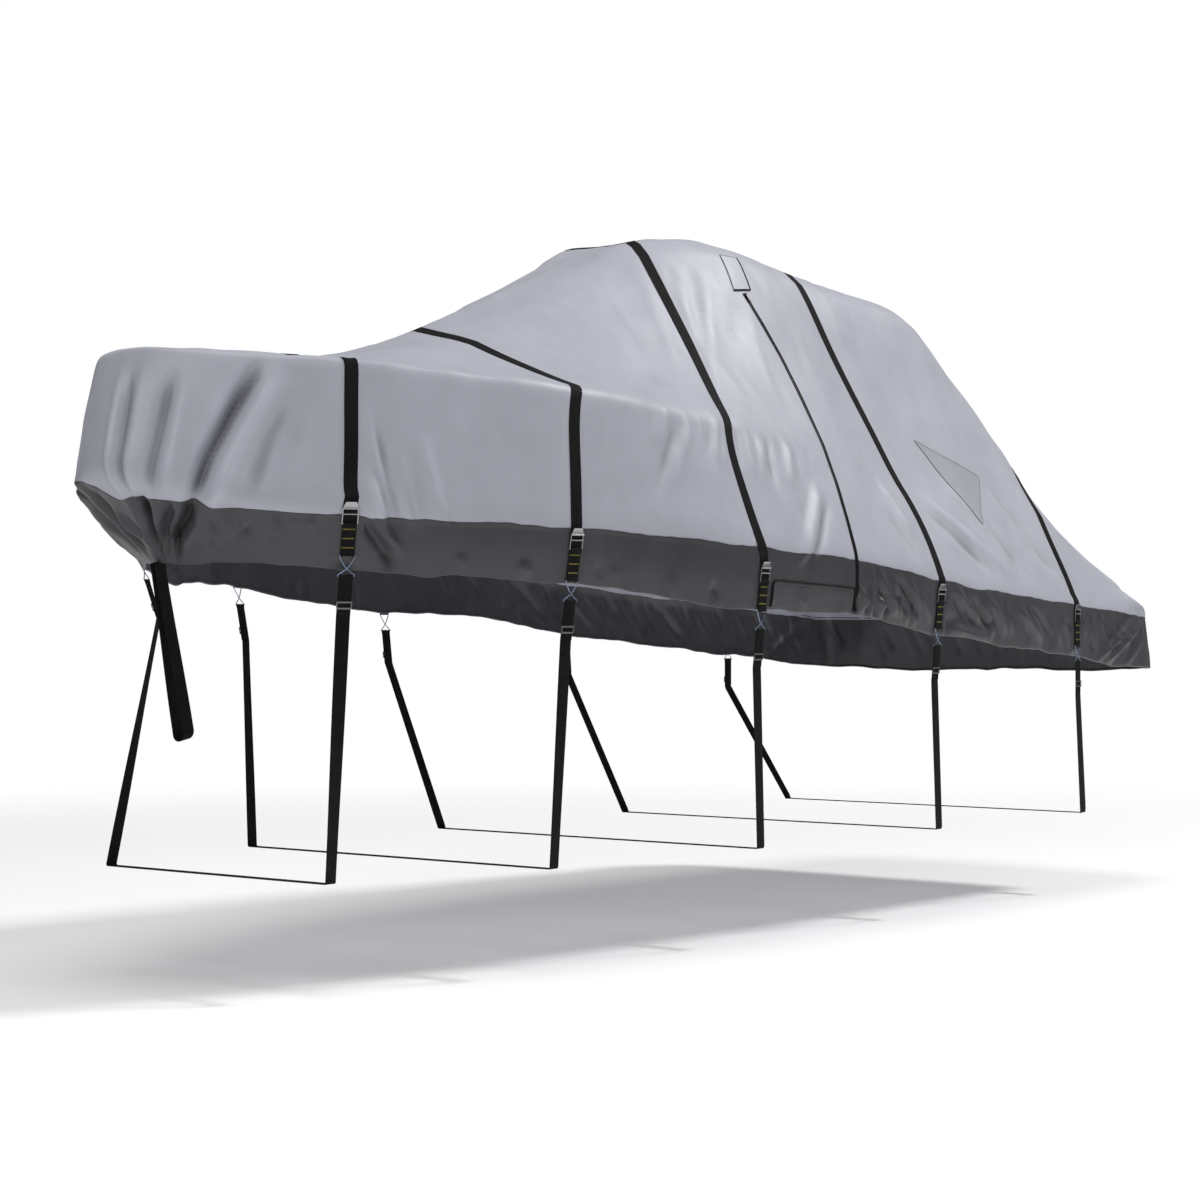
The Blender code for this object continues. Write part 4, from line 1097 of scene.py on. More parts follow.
class BoatCoverColours(bpy.types.PropertyGroup):
    """Colours that a maker would change."""

    canopy: colour_property("Canopy", "Coated cloth of the upper part", (0.430, 0.437, 0.495))
    band: colour_property("Band", "Cloth of the band and its patch", (0.044, 0.042, 0.049))
    webbing: colour_property("Webbing", "Straps and tabs", (0.0075, 0.0075, 0.0080))
    zinc: colour_property("Zinc", "Cam buckles", (0.44, 0.44, 0.45))
    blued: colour_property("Blued wire", "Hooks", (0.26, 0.33, 0.46))
    slider: colour_property("Sliders", "Double-bar sliders", (0.18, 0.18, 0.19))
    thread: colour_property("Thread", "Bartacks on the tabs", (0.30, 0.27, 0.06))
    seam_thread: colour_property("Seam thread", "Rows in the cloth", (0.30, 0.30, 0.34))
    trim: colour_property("Trim", "Piping, zip tape and teeth", (0.005, 0.005, 0.006))


FINISHES = {}


def finish_of(name):
    """A material, made on first use."""
    colours = bpy.context.scene.boat_cover_colours
    makers = {
        "canopy": (cloth_finish, "canopy_cloth", colours.canopy, 0.50),
        "band": (cloth_finish, "band_cloth", colours.band, 0.40),
        "webbing": (webbing_finish, "webbing", colours.webbing),
        "zinc": (metal_finish, "buckle_zinc", colours.zinc, 0.34),
        "blued": (metal_finish, "blued_wire", colours.blued, 0.30, 0.3),
        "slider": (metal_finish, "dark_slider", colours.slider, 0.42),
        "thread": (thread_finish, "tab_thread", colours.thread),
        "seam_thread": (thread_finish, "seam_thread", colours.seam_thread),
        "trim": (thread_finish, "black_trim", colours.trim, 0.5),
        "flap_edge": (thread_finish, "flap_edge", tone(colours.canopy, 0.45)),
        "patch": (cloth_finish, "patch_cloth", tone(colours.canopy, 0.84)[:3], 0.50),
    }
    if name not in FINISHES:
        make, *values = makers[name]
        FINISHES[name] = make(*values)
    return FINISHES[name]


# ---------------------------------------------------------------- the pieces
def cloth_uv(points):
    """Metres round the cover and metres down the cloth, for each point of a grid."""
    steps = np.linalg.norm(np.diff(points, axis=1), axis=2)
    down = np.concatenate([np.zeros((len(points), 1)), np.cumsum(steps, axis=1)], axis=1)
    along = np.broadcast_to((CLOTH.along * CLOTH.side)[:, None], down.shape)
    return np.stack([along, down], axis=-1)


def sheet_area(points):
    """Area of a grid of points that closes on itself."""
    across = np.roll(points, -1, 0)[:, :-1] - points[:, :-1]
    down = points[:, 1:] - points[:, :-1]
    return float(np.linalg.norm(np.cross(across, down), axis=2).sum())


def add_canopy():
    """The pale upper cloth, one sheet from side to side with its edge under the band."""
    last = CLOTH.seam_column
    points = CLOTH.points[:, :last + 1].copy()
    tuck = np.array([0.0, 0.0008, 0.0016])
    points[:, last - 2:] -= CLOTH.normals[:, last - 2:last + 1] * tuck[None, :, None]
    rows, columns = points.shape[:2]
    number = np.arange(rows * columns).reshape(rows, columns)
    number[:, 0] = np.minimum(number[:, 0], number[mirrored_rows(rows), 0])
    faces = number.ravel()[grid_faces(rows, columns, closed_rows=True)]
    keep = [list(dict.fromkeys(face)) for face in faces.tolist()]
    keep = [face for face in keep if len(face) > 2]
    used, renumbered = np.unique(np.concatenate([np.array(f) for f in keep]),
                                 return_inverse=True)
    cuts = np.cumsum([len(face) for face in keep])[:-1]
    keep = [part.tolist() for part in np.split(renumbered, cuts)]
    build = Build()
    corners = points.reshape(-1, 3)[used]
    build.add(corners, outward(corners, keep), cloth_uv(points).reshape(-1, 2)[used],
              painted_fold_shading=CLOTH.painted_fold_shading[:, :last + 1].ravel()[used])
    piece = build.piece("canopy_cloth", "canopy", ["canopy"], "canopy_cloth", sharp=70)
    area = sheet_area(points)
    girth = float(cloth_uv(points)[:, -1, 1].max()) * 2


def outward(points, faces):
    """The faces, turned so that the first points away from the middle of the cover."""
    a, b, c = (np.array(points[i]) for i in faces[len(faces) // 2][:3])
    turned = np.cross(b - a, c - a) @ (a - MIDDLE) < 0
    return [face[::-1] for face in faces] if turned else faces


def add_band():
    """The dark band round the bottom: a lapped seam above, elastic rolled into its hem."""
    sizes = bpy.context.scene.boat_cover_sizes
    first = CLOTH.seam_column
    face_points, normals = CLOTH.points[:, first:], CLOTH.normals[:, first:]
    down = face_points[:, 0] - CLOTH.points[:, first - 1]
    share = sizes.seam_lap / np.linalg.norm(down, axis=1, keepdims=True)
    down = unit(down)
    top = face_points[:, 0] - down * sizes.seam_lap
    top_normal = unit(normals[:, 0] * (1 - share) + CLOTH.normals[:, first - 1] * share)
    bottom, bottom_normal = face_points[:, -1], normals[:, -1]
    falling = unit(bottom - face_points[:, -3])
    layers = [top - top_normal * 0.0002, top + top_normal * 0.0010,
              top + down * 0.0016 + top_normal * 0.0016]
    layers += list((face_points + normals * 0.0002).transpose(1, 0, 2))
    for turn in np.radians(range(20, 341, 40)):
        layers.append(bottom - bottom_normal * sizes.hem_cord * (1 - cos(turn))
                      + bottom_normal * 0.0002 + falling * sizes.hem_cord * sin(turn))
    layers += list((face_points - normals * 0.0014)[:, -2::-1].transpose(1, 0, 2))
    points = np.stack(layers, axis=1)
    rows, columns = points.shape[:2]
    # painted shade and highlight of the band's folds, spread over its seam layers, hem cord and
    # inner face
    band_fold_shading = CLOTH.painted_fold_shading[:, first:]
    round_cord = columns - 2 - 2 * band_fold_shading.shape[1]
    band_fold_shading = np.concatenate([band_fold_shading[:, :1].repeat(3, 1), band_fold_shading,
                             band_fold_shading[:, -1:].repeat(round_cord, 1), band_fold_shading[:, -2::-1]], axis=1)
    faces = grid_faces(rows, columns, closed_rows=True).tolist()
    faces += [[i * columns + columns - 1, i * columns, (i + 1) % rows * columns,
               (i + 1) % rows * columns + columns - 1] for i in range(rows)]
    build = Build()
    build.add(points, outward_strip(points.reshape(-1, 3), faces), cloth_uv(points),
              painted_fold_shading=band_fold_shading)
    piece = build.piece("skirt_band_cloth", "band",
                        [f"skirt_band_{part}" for part in ("bow", "port", "stern",
                                                           "starboard")],
                        "band_cloth", sharp=70)
    area = sheet_area(face_points)
    length = float(np.linalg.norm(np.roll(bottom, -1, 0) - bottom, axis=1).sum())


def strap_lines(number, offsets):
    """Points over the cover of lines beside a strap's middle, from port to starboard."""
    lines = []
    for offset in offsets:
        line = []
        for seat in seats(number):
            rows = CLOTH.rows_of(seat.side)
            both_at = np.concatenate([CLOTH.points[rows], CLOTH.normals[rows]], axis=2)
            short = both_at[..., 0] - strap_line(STRAPS[number - 1], CLOTH.levels) - offset
            found = []
            for j in range(both_at.shape[1]):
                crossing = np.nonzero((short[:-1, j] < 0) & (short[1:, j] >= 0))[0]
                if len(crossing):
                    i = crossing[0]
                    t = short[i, j] / (short[i, j] - short[i + 1, j])
                    found.append(both_at[i, j] * (1 - t) + both_at[i + 1, j] * t)
            local = seat.local(np.array(found)[:, :3])
            found = [f for f, u in zip(found, local[:, 1]) if u > -0.02]
            line += found[::-1] if seat.side == PORT else found[1:]
        lines.append(np.array(line))
    return lines


def add_top_strap(number):
    """Webbing over the cover, down behind both buckles."""
    offsets = BELT * np.array([-0.5, -0.25, 0.0, 0.25, 0.5])
    even = []
    for offset, line in zip(offsets, strap_lines(number, offsets)):
        port_end, other_end = ([np.concatenate([seat.at(offset, u, 0.0), seat.n])
                                for u in (-0.082, -0.055, -0.03)] for seat in seats(number))
        even.append(dense(np.concatenate([port_end, line, other_end[::-1]]), 0.0125))
    count = min(len(line) for line in even)
    at = np.linspace(0, 1, count)
    grid = np.stack([between(at, np.linspace(0, 1, len(line)), line) for line in even], axis=1)
    cloth = grid[..., :3].copy()
    for _ in range(10):
        grid[1:-1] = (grid[:-2] + 2 * grid[1:-1] + grid[2:]) / 4
    middle = grid[:, 2:3, :3]
    sideways = grid[:, 4:5, :3] - grid[:, 0:1, :3]
    run = np.gradient(middle[:, 0], axis=0)[:, None]
    flat = unit(np.cross(run, sideways))
    flat *= np.sign((flat * grid[:, 2:3, 3:]).sum(-1, keepdims=True))
    across = unit(np.cross(flat, run))
    across *= np.sign((across * sideways).sum(-1, keepdims=True))
    # the webbing rests on the highest cloth beneath it
    proud = ((cloth - middle) * flat).sum(-1).max(1)
    raised = np.maximum(proud, np.maximum(np.roll(proud, 1), np.roll(proud, -1)))
    for _ in range(4):
        raised[1:-1] = np.maximum(proud[1:-1], (raised[:-2] + 2 * raised[1:-1] + raised[2:]) / 4)
    raised[:3], raised[-3:] = 0.0, 0.0
    line = middle + across * offsets[None, :, None] + flat * raised[:, None, None]
    front, back = line + flat * (0.0010 + WEBBING), line + flat * 0.0004
    edge = unit(line[:, 1] - line[:, 0]) * 0.0012
    points = np.stack([front[:, 0] + edge, *(front[:, k] for k in (1, 2, 3)),
                       front[:, 4] - edge, (front[:, 4] + back[:, 4]) / 2,
                       *(back[:, k] for k in (4, 3, 2, 1, 0)),
                       (front[:, 0] + back[:, 0]) / 2], axis=1)
    around = np.array([-.028, *offsets[1:4], .028, .029, *offsets[::-1], -.029])
    uvs = np.stack(np.broadcast_arrays(around, covered(line[:, 2])[:, None]), axis=-1)
    build = Build()
    build.add(points, outward_strip(points.reshape(-1, 3), tube_faces(*points.shape[:2])), uvs)
    build.piece(f"top_strap_webbing_{number}", "webbing", [f"top_strap_{number}"], "webbing")


def outward_strip(points, faces):
    """The faces, turned so that a closed strip's volume is positive."""
    points = np.asarray(points)
    volume = 0.0
    for face in faces:
        a = points[face[0]]
        for k in range(1, len(face) - 1):
            volume += a @ np.cross(points[face[k]], points[face[k + 1]])
    return faces if volume > 0 else [face[::-1] for face in faces]


def add_buckles(number):
    """A pair of cam buckles: frame, cam plate with its lip, axle and rivet heads."""
    build = Build()
    foot = -PLATE_HEIGHT - FRAME_HEIGHT
    low, high = BUCKLE_LIFT, BUCKLE_LIFT + PLATE
    for seat in seats(number):
        window = FRAME_WIDTH - 2 * RAIL
        middle = foot + BAR_RISE
        windows = [box_loop(window, foot + BAR, middle, 0.003),
                   box_loop(window, middle + BAR, -PLATE_HEIGHT - 0.004, 0.003)]
        metal_plate(build, box_loop(FRAME_WIDTH, foot, -PLATE_HEIGHT + 0.004, 0.006), windows,
                    seat, low, high, 0.0011)
        half, top = FRAME_WIDTH / 2 - 0.001, PLATE_TOP / 2
        thumb = rounded([(-half, -PLATE_HEIGHT), (half, -PLATE_HEIGHT), (top, 0.0),
                         (-top, 0.0)], 0.005)
        metal_plate(build, thumb, [], seat, high - 0.0012, high + 0.0018, 0.0008,
                    bend=lambda u: 0.0030 * max(0.0, (u + 0.012) / 0.012)**2)
        axle = [seat.at(t, -PLATE_HEIGHT + 0.001, high + 0.0016)
                for t in np.linspace(-FRAME_WIDTH / 2 + 0.001, FRAME_WIDTH / 2 - 0.001, 5)]
        wire(build, axle, 0.0030, 10, out=seat.n)
        for t in (-1, 1):
            rivet = [seat.at(t * (FRAME_WIDTH / 2 - RAIL / 2), -PLATE_HEIGHT - 0.016, n)
                     for n in (high - 0.001, high + 0.0012)]
            wire(build, rivet, 0.0022, 8, out=seat.u)
        bar = [seat.at(t, middle + BAR / 2, high + 0.0002)
               for t in np.linspace(-window / 2 - 0.002, window / 2 + 0.002, 4)]
        wire(build, bar, 0.0024, 8, out=seat.n)
    build.piece(f"buckles_zinc_{number}", "zinc",
                both("buckle", number), "buckle_metal", sharp=30)


def hook_bar():
    """Where the hook's upper wire crosses the tab's end, as (u, n)."""
    return -PLATE_HEIGHT - FRAME_HEIGHT - TAB_LENGTH, TAB_WEBBING + GAP + HOOK_WIRE


def add_tabs(number):
    """A pair of webbing tabs between buckle and hook, barred with thread."""
    sizes = bpy.context.scene.boat_cover_sizes
    build = Build()
    back = TAB_WEBBING / 2
    front = back + TAB_WEBBING + GAP
    bar_u = -PLATE_HEIGHT - FRAME_HEIGHT + BAR / 2
    bar_n = BUCKLE_LIFT + PLATE / 2
    hook_u, hook_n = hook_bar()
    grip = HOOK_WIRE + TAB_WEBBING / 2 + GAP
    for seat in seats(number):
        belt = [(bar_u - 0.012, back), (bar_u, back)]
        belt += arc(bar_u, bar_n, TAB_GRIP, -40, 140, 12)
        belt += [(bar_u - 0.010, front + 0.0006), (bar_u - 0.020, front)]
        belt += [(u, front) for u in np.linspace(bar_u - 0.03, hook_u + 0.024, 8)]
        belt += [(hook_u + 0.014, front + 0.0005)]
        belt += arc(hook_u, hook_n, grip, 60, 270, 12)
        belt += [(hook_u + 0.010, back)]
        belt += [(u, back) for u in np.linspace(hook_u + 0.03, bar_u - 0.03, 5)]
        path = np.array([seat.at(0, u, n) for u, n in belt])
        across = np.broadcast_to(np.array(seat.t), path.shape)
        add_belt(build, path, across, np.cross(heading(path, True), across), TAB_WEBBING, True)
        for k in range(sizes.bartacks):
            u = bar_u - 0.024 - (TAB_LENGTH - 0.052) * k / max(1, sizes.bartacks - 1)
            for row in (-0.0016, 0.0016):
                stitch_bar(build, seat, u + row, front + TAB_WEBBING / 2 + 0.0003,
                           0.0265, 18, TAB_STITCH)
    build.piece(f"tabs_webbing_{number}", "webbing thread",
                both("tab", number), "webbing")


def add_hooks(number):
    """A pair of bent wire hooks: a V under the tab that crosses into a triangle."""
    build = Build()
    for seat in seats(number):
        top_u, n = hook_bar()
        low_u = top_u - HOOK_LENGTH
        cross_u = top_u - HOOK_LENGTH * HOOK_CROSSING
        wide, lower, lift = BELT / 2 + 0.006, BELT / 2 + 0.010, HOOK_WIRE * 1.1
        route = [(-wide, top_u, n), (wide, top_u, n), (0.004, cross_u, n + lift),
                 (-lower, low_u, n), (lower, low_u, n), (-0.004, cross_u, n - lift)]
        radii = [0.007, 0.007, 0.02, 0.007, 0.007, 0.02]
        path = dense(rounded(route, radii, 7), 0.0035, closed=True)
        wire(build, [seat.at(*p) for p in path], HOOK_WIRE, 10, closed=True, out=seat.n)
    build.piece(f"hooks_wire_{number}", "blued",
                both("hook", number), "hook_wire", sharp=50)


def lower_end():
    """The lower strap's doubled top round the hook's wire, as (u, n), and its slider's u."""
    top_u, n = hook_bar()
    wire_u = top_u - HOOK_LENGTH
    grip = HOOK_WIRE + WEBBING / 2 + GAP
    slider_u = wire_u - SLIDER_DROP
    tail = slider_u - SLIDER_HEIGHT - STRAP_TAIL
    apart = WEBBING / 2 + GAP
    front = [(u, n + apart) for u in np.linspace(tail, wire_u - 0.016, 9)]
    back = [(u, n - apart) for u in np.linspace(wire_u - 0.016, tail, 9)]
    return front + arc(wire_u, n, grip, 125, -125, 14) + back, slider_u, n


def add_lower_strap(number):
    """Webbing from one hook down, under the trailer's frame and up to the other hook."""
    strap = STRAPS[number - 1]
    low = TRAILER_HEIGHT - TOP_HEIGHT
    path, widths = [], []
    for side, sign in SIDES.items():
        seat = SEATS[(side, number)]
        local, _, _ = lower_end()
        line = [np.array(seat.at(0, u, n)) for u, n in local]
        turned = [np.array(seat.t)] * len(line)
        foot = np.array([strap.foot_x, sign * strap.foot_b, low + STRAP_CORNER])
        start = line[-1]
        for share in np.linspace(0, 1, 25)[1:-1]:
            line.append(start + (foot - start) * share)
            turned.append(unit(np.array(seat.t) * (1 - smooth(share))
                               + np.array([1.0, 0, 0]) * smooth(share)))
        for angle in np.linspace(0, pi / 2, 7):
            line.append(foot + STRAP_CORNER * np.array([0, -sign * (1 - cos(angle)),
                                                        -sin(angle)]))
            turned.append(np.array([1.0, 0, 0]))
        if side == "starboard":
            line, turned = line[::-1], turned[::-1]
        path += line
        widths += turned
    path = np.array(path)
    ahead = heading(path)
    out = unit(np.cross(ahead, widths))
    build = Build()
    add_belt(build, path, np.cross(out, ahead), out)
    for seat in seats(number):
        _, slider_u, n = lower_end()
        for u in (slider_u + 0.052, slider_u + 0.058):
            stitch_bar(build, seat, u, n + WEBBING + GAP + 0.0006, 0.026, 16, STRAP_STITCH)
    build.piece(f"lower_strap_webbing_{number}", "webbing trim",
                [f"lower_strap_{number}"], "webbing")


def add_sliders(number):
    """A pair of double-bar sliders, each in front of the doubled strap."""
    build = Build()
    for seat in seats(number):
        _, slider_u, n = lower_end()
        low = n + WEBBING + 2.6 * GAP
        width = BELT + 2 * SLIDER_WALL
        metal_plate(build, box_loop(width, slider_u - SLIDER_HEIGHT, slider_u, 0.005),
                    [box_loop(BELT - SLIDER_WALL, slider_u - SLIDER_HEIGHT + SLIDER_BAR,
                              slider_u - SLIDER_BAR, 0.003)],
                    seat, low, low + SLIDER_WALL, 0.0009)
    build.piece(f"sliders_metal_{number}", "slider", both("slider", number),
                "slider_metal", sharp=30)


ZIP_TOOTH = ((-0.0009, -0.0006), (0.0009, -0.0006), (0.0007, 0.0009), (-0.0007, 0.0009))


def zip_line():
    """The zip's middle as (x, height), top to bottom."""
    knots = np.array(ZIP_LINE)
    bottom = max(ZIP_LINE[-1][0], SKINS["port"].hem_height(ZIP_LINE[-1][1]) + 0.006)
    heights = np.arange(knots[0, 0], bottom, -0.008)
    order = np.argsort(knots[:, 0])
    line = np.stack([np.interp(heights, knots[order, 0], knots[order, 1]), heights], axis=1)
    for _ in range(60):
        line[1:-1, 0] = (line[:-2, 0] + 2 * line[1:-1, 0] + line[2:, 0]) / 4
    return line


def add_zip():
    """The long zip: two tapes, moulded teeth, a top wedge with its puller."""
    sizes = bpy.context.scene.boat_cover_sizes
    skin = SKINS["port"]
    centre = zip_line()
    build = Build()
    across = [-0.5, -0.45, -0.16, -0.12, 0.12, 0.16, 0.45, 0.5]
    rise = [0.0012, 0.0032, 0.0034, 0.0042, 0.0042, 0.0034, 0.0032, 0.0012]
    points = np.stack([skin.lay(centre + [[ZIP_WIDTH * part, 0.0]], lift)[0]
                       for part, lift in zip(across, rise)], axis=1)
    faces = grid_faces(len(centre), len(across)).tolist()
    uvs = np.stack(np.broadcast_arrays(np.array(across)[None] * ZIP_WIDTH,
                                       centre[:, 1:]), axis=-1)
    a, b, c = (points.reshape(-1, 3)[i] for i in faces[0][:3])
    if np.cross(b - a, c - a)[1] > 0:
        faces = [face[::-1] for face in faces]
    build.add(points, faces, uvs)
    middle, out = skin.lay(centre, 0.0046)
    run_to = covered(middle)
    for k, at in enumerate(np.arange(0.012, run_to[-1] - 0.004, sizes.zip_pitch / 2)):
        here, ahead = between(np.array([at, at + 0.004]), run_to, middle)
        ahead = unit(ahead - here)
        normal = out[min(len(out) - 1, int(np.searchsorted(run_to, at)))]
        side = unit(np.cross(ahead, normal)) * (1 if k % 2 else -1)
        build.add(*sweep([here + side * 0.0030, here - side * 0.0012], [ahead, ahead],
                         [normal, normal], ZIP_TOOTH))
    down = unit(middle[4] - middle[0])
    wedge = rounded([(-0.009, -0.010), (0.009, -0.010), (0.0055, 0.014), (-0.0055, 0.014)],
                    0.003)
    seat = Place(middle[1], unit(np.cross(down, out[1])), down, out[1])
    metal_plate(build, wedge, [], seat, 0.0004, 0.0040, 0.0009)
    puller = rounded([(-0.004, 0.004), (0.004, 0.004), (0.0048, 0.040), (-0.0048, 0.040)],
                     0.0035)
    eye = rounded([(-0.002, 0.031), (0.002, 0.031), (0.002, 0.036), (-0.002, 0.036)], 0.0018)
    metal_plate(build, puller, [eye], seat, 0.0046, 0.0064, 0.0006, finish=1)
    build.piece("zip_tape_and_teeth", "trim slider", ["zip"], "zip_tape")


def add_flap():
    """The small storm flap over the zip's top."""
    skin = SKINS["port"]
    outline = dense(rounded(FLAP_OUTLINE, 0.010), 0.008, closed=True)
    build = Build()
    sewn_patch(build, skin, outline, 0.0016, lift=0.0022)
    for i, corner in enumerate(FLAP_OUTLINE):
        points, normals = skin.lay(dense([FLAP_OUTLINE[i - 1], corner], 0.006), 0.0034)
        radius, finish = (0.0015, 1) if i < 2 else (0.0042, 2)
        wire(build, points, radius, 8, out=normals, finish=finish)
    piece = build.piece("zip_flap_cloth", "canopy flap_edge trim", ["zip_flap"], "canopy_cloth")


def add_band_patch():
    """The charcoal patch on the band, piped on three sides and open at the hem."""
    sizes = bpy.context.scene.boat_cover_sizes
    skin = SKINS["port"]
    corners = [np.array(c) for c in PATCH_OUTLINE]
    for corner in (corners[0], corners[3]):
        corner[1] = skin.hem_height(corner[0]) + 0.010
    outline = dense(rounded(corners, [0, 0.030, 0.030, 0]), 0.012, closed=True)
    build = Build()
    sewn_patch(build, skin, outline, 0.0014, lift=0.0024)
    edge = dense(rounded(corners, [0, 0.030, 0.030, 0], closed=False), 0.008)
    points, normals = skin.lay(edge, 0.0030 + sizes.piping / 2)
    wire(build, points, sizes.piping, 8, out=normals, finish=1)
    inner = centre_scaled(edge, 0.012)
    points, normals = skin.lay(inner, 0.0042)
    stitch_row(build, points, normals, *SEAM_STITCH, 2)
    piece = build.piece("band_patch_cloth", "band trim seam_thread", ["band_patch"],
                        "band_cloth")


def centre_scaled(line, inset):
    """A line drawn in towards the middle of its shape by an inset."""
    line = np.asarray(line, float)
    centre = (line.max(0) + line.min(0)) / 2
    half = (line.max(0) - line.min(0)) / 2
    return centre + (line - centre) * (half - inset) / half


def add_corner_patch():
    """The triangular doubling patch near the aft corner of the roof."""
    skin = SKINS["port"]
    outline = dense(rounded(GUSSET_OUTLINE, 0.020), 0.012, closed=True)
    build = Build()
    sewn_patch(build, skin, outline, 0.0012, lift=0.0008)
    points, normals = skin.lay(outline, 0.0021)
    wire(build, points, 0.0011, 8, closed=True, out=normals, finish=1)
    inner = dense(centre_scaled(outline, 0.012), 0.008, closed=True)
    points, normals = skin.lay(inner, 0.0021)
    stitch_row(build, points, normals, *SEAM_STITCH, 2)
    piece = build.piece("corner_patch_cloth",
                        "patch flap_edge seam_thread", ["corner_patch"], "canopy_cloth")


def add_bow_strap():
    """The webbing loop that hangs from the bow round the trailer's winch post."""
    nose = SECTIONS[0].hem
    top = np.array([nose[0], 0.0, nose[2] - TOP_HEIGHT - BOW_HALF_TOP - WEBBING / 2 - GAP])
    low = np.array([BOW_LOW[0], 0.0, BOW_LOW[1] - TOP_HEIGHT])
    path = [top + [0, -BOW_HALF_TOP * cos(a), BOW_HALF_TOP * sin(a)]
            for a in np.linspace(0, pi, 11)]
    share = np.linspace(0, 1, 19)[1:-1]
    half = BOW_HALF_TOP + (BOW_HALF_LOW - BOW_HALF_TOP) * smooth(share)
    path += [top + (low - top) * s + [0, h, 0] for s, h in zip(share, half)]
    path += [low + [0, BOW_HALF_LOW * cos(a), -BOW_HALF_LOW * sin(a)]
             for a in np.linspace(0, pi, 13)]
    path += [top + (low - top) * s - [0, h, 0] for s, h in zip(share[::-1], half[::-1])]
    path = np.array(path)
    across = np.broadcast_to(unit(np.cross(unit(low - top), [0.0, 1.0, 0.0])), path.shape)
    build = Build()
    add_belt(build, path, across, unit(np.cross(heading(path, True), across)), closed=True)
    build.piece("bow_strap_webbing", "webbing", ["bow_strap"], "webbing")


# ---------------------------------------------------------------- stage
FLOOR = -TOP_HEIGHT
CAMERA_PLACE = (-9.91, -7.70, -1.965)
CAMERA_YAW = radians(38.98)
CAMERA_PITCH = radians(0.91)
FLOOR_REACH = 14.0
LIGHTS = (
    ("key", (11.0, -8.5, 14.5), (0.0, 0.0, -1.2), 3.2, 2800.0),
    ("top", (-6.0, -3.0, 18.0), (0.0, 0.0, -1.0), 9.0, 1500.0),
    ("fill", (-17.0, -8.0, 7.0), (0.0, 0.0, -1.2), 6.0, 1000.0),
    ("rim", (2.0, 16.0, 10.0), (0.0, 0.0, -1.0), 9.0, 380.0),
)


def add_stage():
    """Pale floor that fades into a white surround, soft lights and the camera."""
    scene = bpy.context.scene
    scene.view_settings.view_transform = "Standard"
    scene.view_settings.look = "None"
    disc = bmesh.new()
    bmesh.ops.create_circle(disc, cap_ends=True, segments=96, radius=FLOOR_REACH)
    data = bpy.data.meshes.new("floor")
    disc.to_mesh(data)
    disc.free()
    floor = bpy.data.objects.new("floor", data)
    floor.location = (0.0, 0.0, FLOOR - 0.001)
    scene.collection.objects.link(floor)
    finish = Finish("floor", Specular_IOR_Level=0.1, Roughness=0.9)
    place = finish.where("Object")
    far = finish.node("ShaderNodeVectorMath", {"operation": "LENGTH"}, {0: place}, 1)
    mottled = finish.noise(place, 3.0)
    finish.surface.inputs["Emission Color"].default_value = (1.0, 1.0, 1.0, 1.0)
    finish.surface.inputs["Emission Strength"].default_value = 0.20
    finish.feed(Base_Color=finish.mix((0.84, 0.84, 0.84, 1), (0.88, 0.88, 0.88, 1), mottled),
                Alpha=1 - far.step(5.0, FLOOR_REACH - 1))
    data.materials.append(finish.material)

    world = bpy.data.worlds.new("studio")
    scene.world = world
    world.use_nodes = True
    studio = Nodes(world.node_tree)
    surround = studio.tree.nodes["Background"]
    surround.inputs["Color"].default_value = (0.93, 0.95, 1.0, 1.0)
    surround.inputs["Strength"].default_value = 0.12
    seen = studio.node("ShaderNodeBackground", {}, {"Color": (1.0, 1.0, 1.0, 1.0)})
    ray = studio.node("ShaderNodeLightPath", {}, {}, "Is Camera Ray")
    lit = Shade(studio, surround.outputs[0])
    choose = studio.node("ShaderNodeMixShader", {}, {0: ray, 1: lit, 2: seen})
    studio.tree.links.new(choose.socket, studio.tree.nodes["World Output"].inputs["Surface"])

    for name, place_at, aim, size, power in LIGHTS:
        lamp = bpy.data.lights.new(name, "AREA")
        lamp.shape, lamp.size, lamp.energy = "DISK", size, power
        holder = bpy.data.objects.new(name, lamp)
        holder.location = place_at
        turn = (Vector(aim) - Vector(place_at)).to_track_quat("-Z", "Y")
        holder.rotation_euler = turn.to_euler()
        scene.collection.objects.link(holder)

    lens = bpy.data.cameras.new("camera")
    lens.lens, lens.sensor_width = 75.0, 36.0
    lens.clip_end = 200.0
    camera = bpy.data.objects.new("camera", lens)
    camera.location = CAMERA_PLACE
    camera.rotation_euler = (pi / 2 + CAMERA_PITCH, 0.0, CAMERA_YAW - pi / 2)
    scene.collection.objects.link(camera)
    scene.camera = camera


# ---------------------------------------------------------------- the add-on
def for_each_strap(*adders):
    """Add the pieces of one strap after another."""
    for number in range(1, STRAP_COUNT + 1):
        for add in adders:
            add(number)


class BOATCOVER_OT_stage(bpy.types.Operator):
    """Set the pale floor, the soft lights and the camera"""

    bl_idname = "boatcover.stage"
    bl_label = "Stage"

    def execute(self, context):
        add_stage()
        return {"FINISHED"}


class BOATCOVER_OT_canopy(bpy.types.Operator):
    """Drape the pale upper cloth"""

    bl_idname = "boatcover.canopy"
    bl_label = "Canopy"

    def execute(self, context):
        add_canopy()
        return {"FINISHED"}


class BOATCOVER_OT_band(bpy.types.Operator):
    """Sew on the dark band with its elastic hem"""

    bl_idname = "boatcover.band"
    bl_label = "Skirt Band"

    def execute(self, context):
        add_band()
        return {"FINISHED"}


class BOATCOVER_OT_straps(bpy.types.Operator):
    """Lay the webbing over the cover and under the trailer"""

    bl_idname = "boatcover.straps"
    bl_label = "Straps"

    def execute(self, context):
        for_each_strap(add_top_strap, add_lower_strap)
        return {"FINISHED"}


